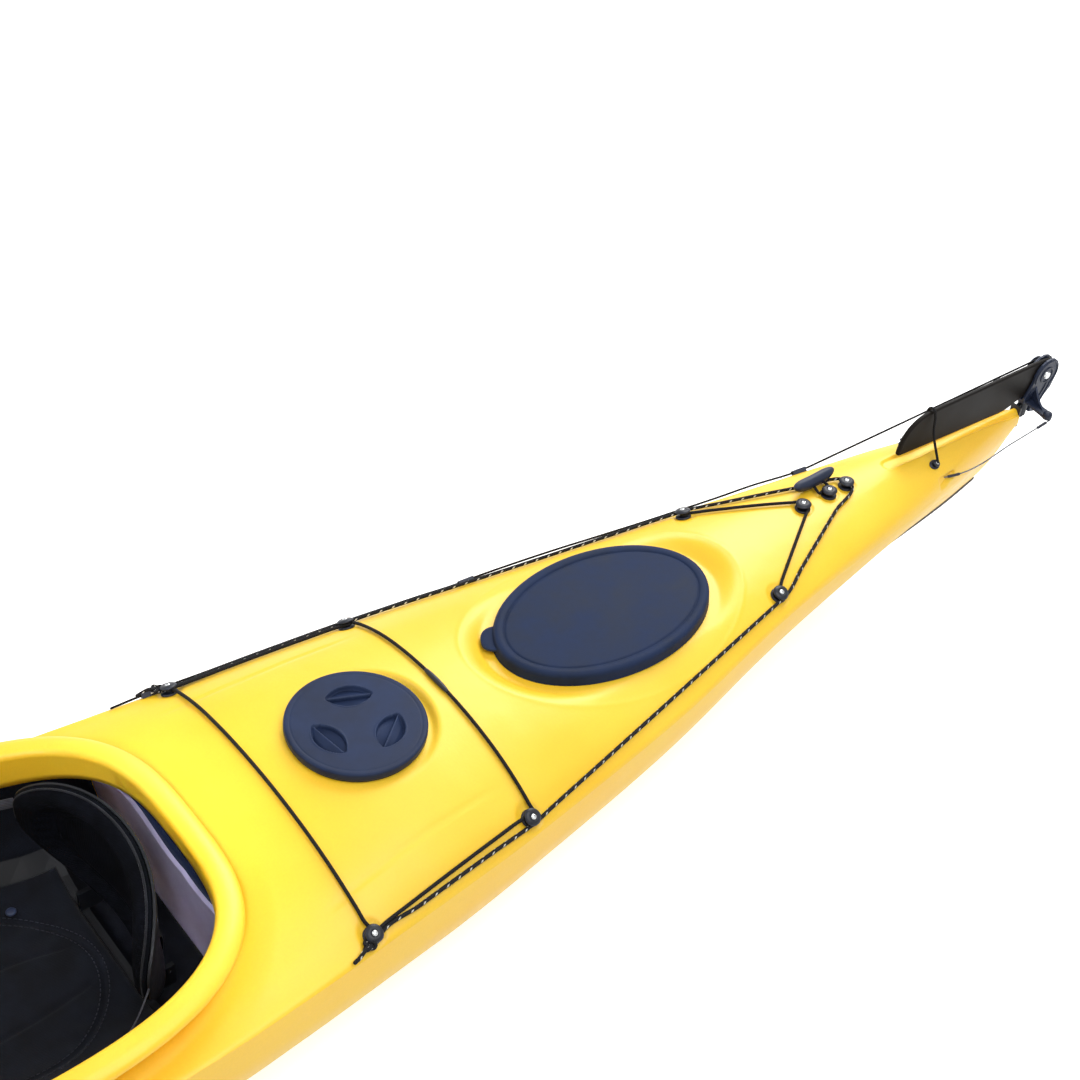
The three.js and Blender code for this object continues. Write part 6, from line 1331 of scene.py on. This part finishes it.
def stitchLine(name, line, body, every=7.5, long=5.0, thick=0.75):
    # separate short stitches laid along a line, as one mesh of small six sided beads
    path = throughPoints(line[::4], 2.5)
    run = runOf(path)
    starts = np.arange(0, run[-1] - long, every)
    at = lambda s: np.stack([np.interp(s, run, path[:, k]) for k in range(3)], -1)
    a, b = at(starts), at(starts + long)
    along = unit(b - a)
    side = unit(np.cross(along, np.array([0.0, 0.0, 1.0])))
    over = np.cross(side, along)
    turn = np.arange(6)[None, :, None] * math.pi / 3
    spokes = side[:, None] * np.cos(turn) + over[:, None] * np.sin(turn)
    sections = [a[:, None] + along[:, None] * s * long + spokes * thick * w + over[:, None] * (0.25 * w)
                for s, w in ((0.0, 0.45), (0.2, 1.0), (0.8, 1.0), (1.0, 0.45))]
    grid = np.stack(sections, 1)
    first = np.arange(len(starts))[:, None, None] * 24
    walls = (gridFaces(4, 6, loopColumns=True)[None] + first).reshape(-1, 4)
    ends = (np.array([[0, 1, 2, 3, 4, 5], [23, 22, 21, 20, 19, 18]])[None] + first).reshape(-1, 6)
    piece = addPiece(name, grid.reshape(-1, 3), walls.tolist() + ends.tolist(), body, looks["thread"])


def backPoint(s, t, front):
    # s and t run from -1 to 1 across and up the backrest; front is how far ahead of its rear face
    b = back
    angle = s * b["spread"]
    low = b["lowZ"] + b["wingLift"] * s * s
    high = b["highZ"] - b["wingDrop"] * np.abs(s) ** 3
    radius = b["radius"] - front
    x = b["centreX"] + b["radius"] - radius * np.cos(angle)
    return np.stack([x, radius * np.sin(angle), mix(low, high, (t + 1) / 2)], -1)


def backRing(rho, angle):
    # the rounded square that the backrest's outline follows
    c, s = np.cos(angle), np.sin(angle)
    reach = (np.abs(c) ** back["round"] + np.abs(s) ** back["round"]) ** (-1 / back["round"])
    return rho * reach * c, rho * reach * s


def makeBackrest():
    steps = 240
    angle = np.arange(steps) * 2 * math.pi / steps
    rho = np.concatenate([np.linspace(0.012, 0.66, 40), np.linspace(0.67, 0.975, 34),
                          0.975 + 0.02 * np.sin(np.linspace(0, 1, 9)[1:] * math.pi / 2)])
    rr, aa = np.meshgrid(rho, angle, indexing="ij")
    s, t = backRing(rr, aa)
    roll = np.sqrt(np.clip(1 - (np.maximum(0, rr - 0.80) / 0.196) ** 2, 0, 1))
    dish = smooth((0.84 - rr) / 0.17)
    seam = 2.6 * np.exp(-((rr - 0.60) / 0.012) ** 2) + 2.0 * np.exp(-((rr - 0.665) / 0.010) ** 2)
    pucker = 0.8 * np.sin(26 * aa + np.sin(5 * aa)) * np.exp(-((rr - 0.76) / 0.06) ** 2)
    inner = 2.4 * np.clip(1 - (rr / 0.6) ** 2, 0, 1)
    front = back["shellThick"] + 0.8 + back["padThick"] * (0.10 + 0.98 * roll)
    front = front - back["rimSwell"] * dish - seam + pucker + inner
    face = backPoint(s, t, front)
    behind = np.array([0.99, 0.97, 0.6, 0.2])
    r2, a2 = np.meshgrid(behind, angle, indexing="ij")
    s2, t2 = backRing(r2, a2)
    rear = backPoint(s2, t2, np.full(r2.shape, back["shellThick"] + 0.3) + np.array([1.2, 0, 0, 0])[:, None])
    points, faces = loftMesh(np.concatenate([face, rear]), [face[0].mean(0), rear[-1].mean(0)])
    pad = addPiece("back_cushion", points, faces, "backrest", looks["backCloth"])
    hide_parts("backrest_pad")
    # piping round the pad's border
    s1, t1 = backRing(0.987, np.linspace(0, 2 * math.pi, 361)[:-1])
    path = backPoint(s1, t1, back["shellThick"] + 7.4)
    rings = sweepRings(path, circle(1.9, 10), closed=True, upward=(1, 0.02, 0))
    faces = gridFaces(len(path), 10, loopRows=True, loopColumns=True)[:, ::-1]
    piece = addPiece("back_piping_outer", rings.reshape(-1, 3), faces, "backrest", looks["piping"])


backHinge = {"y": 50, "halfWide": 12, "halfThick": 3.2}


def makeBackShell():
    # moulded carrier of the backrest with the same round outline, and its two hinge tabs
    angle = np.arange(160) * 2 * math.pi / 160
    front = back["shellThick"]
    rows = [(0.02, front), (0.4, front), (0.8, front), (0.985, front), (1.0, front - 0.8), (1.0, 0.8),
            (0.985, 0.0), (0.8, 0.0), (0.4, 0.0), (0.02, 0.0)]
    rings = [backPoint(*backRing(rho, angle), place) for rho, place in rows]
    points, faces = loftMesh(rings, [rings[0].mean(0), rings[-1].mean(0)])
    shell = addPiece("back_shell", points, faces, "backrest", looks["seatPlastic"], 40)
    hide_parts("backrest_shell")
    low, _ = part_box("backrest_shell")
    for side, label in ((1, "port"), (-1, "starboard")):
        y = side * backHinge["y"]
        line = [(-468, y, low[2] * 1000 + 7), (-470, y, 104), (-471, y, 118), (-471, y, 132)]
        line = throughPoints(line, 4)
        flat = circle(1, 12) * np.array([backHinge["halfWide"], backHinge["halfThick"]])
        points, faces = loftMesh(sweepRings(line, flat, upward=(1, 0, 0)), None, True)
        tab = addPiece(f"back_hinge_{label}", points, faces, "backrest", looks["seatPlastic"], 40)


strap = {
    "line": [(-391.5, 184.6, 226), (-372, 199, 217), (-326, 227, 209), (-290, 243, 212), (-263, 250.2, 219)],
    "section": [(-7.5, -0.7), (-7.1, -1.0), (7.1, -1.0), (7.5, -0.7), (7.5, 0.7), (7.1, 1.0), (-7.1, 1.0),
                (-7.5, 0.7)],
}


def makeStraps():
    # flat webbing, 15 mm wide, from the backrest's wings forward to the coaming
    for side, label in ((1, "port"), (-1, "starboard")):
        path = throughPoints(np.array(strap["line"]) * (1, side, 1), 4)
        shape = np.array(strap["section"])
        turn = np.linspace(1.35, 0.9, len(path))[:, None]
        c, s = np.cos(turn * side), np.sin(turn * side)
        flat = np.stack([shape[:, 0] * c - shape[:, 1] * s, shape[:, 0] * s + shape[:, 1] * c], -1)
        points, faces = loftMesh(sweepRings(path, flat), None, True)
        piece = addPiece(f"webbing_{label}", points, faces, None, looks["webbing"], 40)
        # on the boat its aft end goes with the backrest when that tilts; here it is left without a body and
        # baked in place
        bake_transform(piece)
        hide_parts(f"backrest_strap_{label}")


bulkheads = {  # rear face, thickness, how far the top stays below the deck
    "bulkhead_seat": (-610, 72, 82), "bulkhead_day": (-1014, 8, 0), "bulkhead_bow": (796, 8, 0),
}


def sectionLoops(x, drop):
    # the hollow's section at x: the foam's outline, and the band between the foam and the deck
    place, inset = np.array([float(x)]), hullPlan["wall"] + 0.6
    y, z = halfCurve(place, evenShares("deck", 40), "deck", inset)[0].T
    hull = halfCurve(place, evenShares("hull", 40), "hull", inset)[0]
    cut = z - drop * (0.88 + 0.12 * np.sin(y / 38 + 0.8)) * smooth((300 - y) / 120)
    mirror = np.array([-1, 1])
    over = np.stack([y, cut], -1)[1:]
    panel = np.vstack([hull[:0:-1] * mirror, hull, over, over[-2::-1] * mirror])
    upper, lower = np.stack([y, z - 13], -1), np.stack([y, np.maximum(np.minimum(cut, z - 14) - 8, 0)], -1)
    return panel, np.vstack([upper, upper[-2::-1] * mirror, lower * mirror, lower[-2::-1]])


def makeBulkheads():
    # foam blocks cut to the section; the one behind the seat stops below the deck, and a dark piece fills the
    # band between its top and the deck as painted shade
    for name, (rear, thick, drop) in bulkheads.items():
        behind, ahead = sectionLoops(rear, drop), sectionLoops(rear + thick, drop)
        # the dark band over the seat's foam is painted shade under the deck, not a real seal; it takes the
        # rubber's colour
        parts = [("panel", 0, 0, "bulkhead")] + ([("seal", 1, 6, "rubber")] if drop else [])
        for part, k, short, look in parts:
            front = rear + thick - short
            middle = ahead[k].mean(0)
            rings = [(rear, behind[k]), (front - 1.5, ahead[k]), (front, middle + (ahead[k] - middle) * 0.99)]
            rings = [np.column_stack([np.full(len(loop), x), loop]) for x, loop in rings]
            points, faces = loftMesh(rings, None, True)
            piece = addPiece(f"{name}_{part}", points, faces, "kayak", looks[look], 40)
            if part == "panel":
                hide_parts(name)


hipPad = {"fromX": -537.5, "toX": -250, "low": 26, "top": 168, "thick": 13}


def makeHipPads():
    # quilted side panels beside the seat, which run aft along the hull past the backrest
    for side, label in ((1, "port"), (-1, "starboard")):
        x = np.linspace(hipPad["fromX"], hipPad["toX"], 60)
        u = np.linspace(0, 1, 40)
        t = np.linspace(0, 1, 60)
        top = hipPad["top"] * (0.55 + 0.45 * np.sin(math.pi * np.clip(t * 1.1, 0, 1)) ** 0.6)
        z = hipPad["low"] + (top[:, None] - hipPad["low"]) * u[None, :]
        fine = np.linspace(0, 7, 281)
        curve = halfCurve(x, fine, "hull", hullPlan["wall"] + 0.8)
        wall = np.stack([np.interp(z[i], curve[i, :, 1], curve[i, :, 0]) for i in range(len(x))])
        puff = (np.sin(math.pi * t)[:, None] ** 0.4) * (np.sin(math.pi * u)[None, :] ** 0.4)
        quilt = 1.6 * np.exp(-((np.sin(math.pi * 5 * t)[:, None]) / 0.12) ** 2)
        inner = wall - 1.2 - hipPad["thick"] * puff + quilt * puff
        grid = np.stack([np.broadcast_to(x[:, None], z.shape), inner * side, z], -1)
        outer = np.stack([np.broadcast_to(x[:, None], z.shape), (wall - 0.6) * side, z], -1)
        points, faces = slabMesh(grid, outer)
        faces = faces if side > 0 else faces[:, ::-1]
        piece = addPiece(f"hip_pad_{label}", points, faces, "kayak", looks["seatCloth"], 60)


skirt = {"fromX": -538, "toX": -425, "high": 27, "thick": 11}


def makeSkirt():
    # the seat cover's rear flap: it lies on the hull behind the seat, between the hip pads
    n, m = 40, 90
    x, share = np.linspace(skirt["fromX"], skirt["toX"], n), np.linspace(-1, 1, m)
    y, z = hullBand(x, np.full(n, skirt["high"]), share, hullPlan["wall"] + 0.8)
    x, t, share = np.broadcast_to(x[:, None], y.shape), np.linspace(0, 1, n)[:, None], share[None, :]
    edge = (np.sin(math.pi * t) ** 0.3) * ((1 - share ** 2) ** 0.3)
    fold = 2.2 * np.sin(9 * share + 3 * t) * np.sin(7 * t + 2) ** 2
    lift = 1.2 + (skirt["thick"] + fold) * edge
    inward = 1 - lift / np.maximum(np.abs(y), 60) * share ** 2
    upper = np.stack([x, y * inward, z + lift * (1 - 0.5 * share ** 2)], -1)
    points, faces = slabMesh(upper, np.stack([x, y, z + 0.8], -1))
    piece = addPiece("seat_skirt", points, faces, "kayak", looks["seatCloth"], 60)


nodeLooks = {
    "seatPlastic": ["seat_pan", "pedal_port", "pedal_starboard"],
    "fitting": ["line_guide_front", "line_guide_middle", "line_guide_rear"],
    "tubing": ["cable_tube_port", "cable_tube_starboard"],
    "rail": ["foot_rail_port", "foot_rail_starboard"],
    "rudderNylon": ["rudder_yoke", "rudder_drum"],
    "steel": ["rudder_pivot_bolt"],
    "coatedSteel": ["stern_bracket", "rudder_pintle"],
}


def dressNodes():
    for look, names in nodeLooks.items():
        for name in names:
            ob = nodes[name]
            for k in range(max(1, len(ob.material_slots))):
                if len(ob.material_slots) == 0:
                    ob.data.materials.append(looks[look])
                else:
                    ob.material_slots[k].material = looks[look]


makeOvalHatch("stern", sternHatch, "stern_lid")
makeOvalHatch("bow", bowHatch, "bow_lid")
makeDayHatch()
print("hatches made")
makeFittings()
makeLines()
makeKnots()
makeToggles()
makeHoldDown()
makeSkid()
print("fittings and lines made")
makeSeatPad()
makeBackrest()
makeBackShell()
makeStraps()
makeBulkheads()
makeHipPads()
makeSkirt()
dressNodes()
print("cockpit made")


# Camera, light and ground

def makeCamera():
    place = np.array([0.1279, 1.4403, 2.1969])
    yaw, pitch, roll = (math.radians(v) for v in (228.598, -42.048, 4.831))
    ahead = np.array([math.cos(pitch) * math.cos(yaw), math.cos(pitch) * math.sin(yaw), math.sin(pitch)])
    right = unit(np.cross(ahead, (0, 0, 1)))
    up = np.cross(right, ahead)
    c, s = math.cos(roll), math.sin(roll)
    right, up = c * right + s * up, -s * right + c * up
    camera = bpy.data.cameras.new("camera")
    camera.sensor_fit = "HORIZONTAL"
    camera.sensor_width = 36
    camera.lens = 1814.85 / 1080 * 36
    camera.clip_start = 0.05
    camera.clip_end = 60
    eye = bpy.data.objects.new("camera", camera)
    matrix = np.eye(4)
    matrix[:3, 0], matrix[:3, 1], matrix[:3, 2], matrix[:3, 3] = right, up, -ahead, place
    eye.matrix_world = mathutils.Matrix(matrix.tolist())
    bpy.context.scene.collection.objects.link(eye)
    bpy.context.scene.camera = eye


def areaLight(name, place, target, size, power, colour=(1, 1, 1), spread=180):
    lamp = bpy.data.lights.new(name, "AREA")
    lamp.shape = "RECTANGLE"
    lamp.size, lamp.size_y = size
    lamp.energy = power
    lamp.color = colour
    lamp.spread = math.radians(spread)
    ob = bpy.data.objects.new(name, lamp)
    ob.location = place
    ahead = mathutils.Vector(target) - mathutils.Vector(place)
    ob.rotation_euler = ahead.to_track_quat("-Z", "Y").to_euler()
    bpy.context.scene.collection.objects.link(ob)


def seenDirectly(tree):
    # 1 where camera, gloss or glass look at it, 0 for the light that it throws
    path = addNode(tree, "LightPath")
    direct = addNode(tree, "Math", {"operation": "MAXIMUM"},
                     {0: path.outputs["Is Camera Ray"], 1: path.outputs["Is Glossy Ray"]})
    seen = addNode(tree, "Math", {"operation": "MAXIMUM"},
                   {0: direct.outputs["Value"], 1: path.outputs["Is Transmission Ray"]})
    return seen.outputs["Value"]


def makeStage():
    # white floor that keeps the shadow, and a white surround where camera, gloss or glass look at it
    bpy.ops.mesh.primitive_plane_add(size=60, location=(0, 0, -0.002))
    floor = bpy.context.object
    floor.name = "studio_floor"
    look = bpy.data.materials.new("white paper floor")
    look.use_nodes = True
    tree = look.node_tree
    tree.nodes.clear()
    out = addNode(tree, "OutputMaterial")
    diffuse = addNode(tree, "BsdfDiffuse", {"Color": grey(0.80)})
    level = addNode(tree, "Math", {"operation": "MULTIPLY", 1: 0.62}, {0: seenDirectly(tree)})
    glow = addNode(tree, "Emission", {"Color": grey(1.0)}, {"Strength": level.outputs["Value"]})
    both = addNode(tree, "AddShader", None, {0: diffuse.outputs["BSDF"], 1: glow.outputs["Emission"]})
    tree.links.new(both.outputs["Shader"], out.inputs["Surface"])
    floor.data.materials.append(look)
    world = bpy.data.worlds.new("studio")
    bpy.context.scene.world = world
    world.use_nodes = True
    tree = world.node_tree
    tree.nodes.clear()
    out = addNode(tree, "OutputWorld")
    soft = addNode(tree, "Background", {"Color": grey(1.0), "Strength": 0.42})
    white = addNode(tree, "Background", {"Color": grey(1.0), "Strength": 1.0})
    both = addNode(tree, "MixShader", None,
                   {0: seenDirectly(tree), 1: soft.outputs["Background"], 2: white.outputs["Background"]})
    tree.links.new(both.outputs["Shader"], out.inputs["Surface"])
    areaLight("key", (-1.2, 1.6, 3.6), (-1.0, 0, 0.2), (2.4, 2.4), 78, (1.0, 0.99, 0.97))
    areaLight("sheen", (-4.0, -1.9, 3.2), (-1.4, 0, 0.25), (2.8, 2.6), 165, (1.0, 1.0, 1.0))
    areaLight("cockpit", (0.15, 0.95, 1.55), (-0.54, -0.1, 0.12), (0.3, 0.3), 0.32, (0.95, 0.96, 1.0), 16)
    areaLight("fill", (2.2, -1.5, 3.0), (0.0, 0, 0.2), (3.0, 3.0), 40, (0.96, 0.98, 1.0))
    bpy.context.scene.view_settings.view_transform = "Standard"


makeCamera()
makeStage()
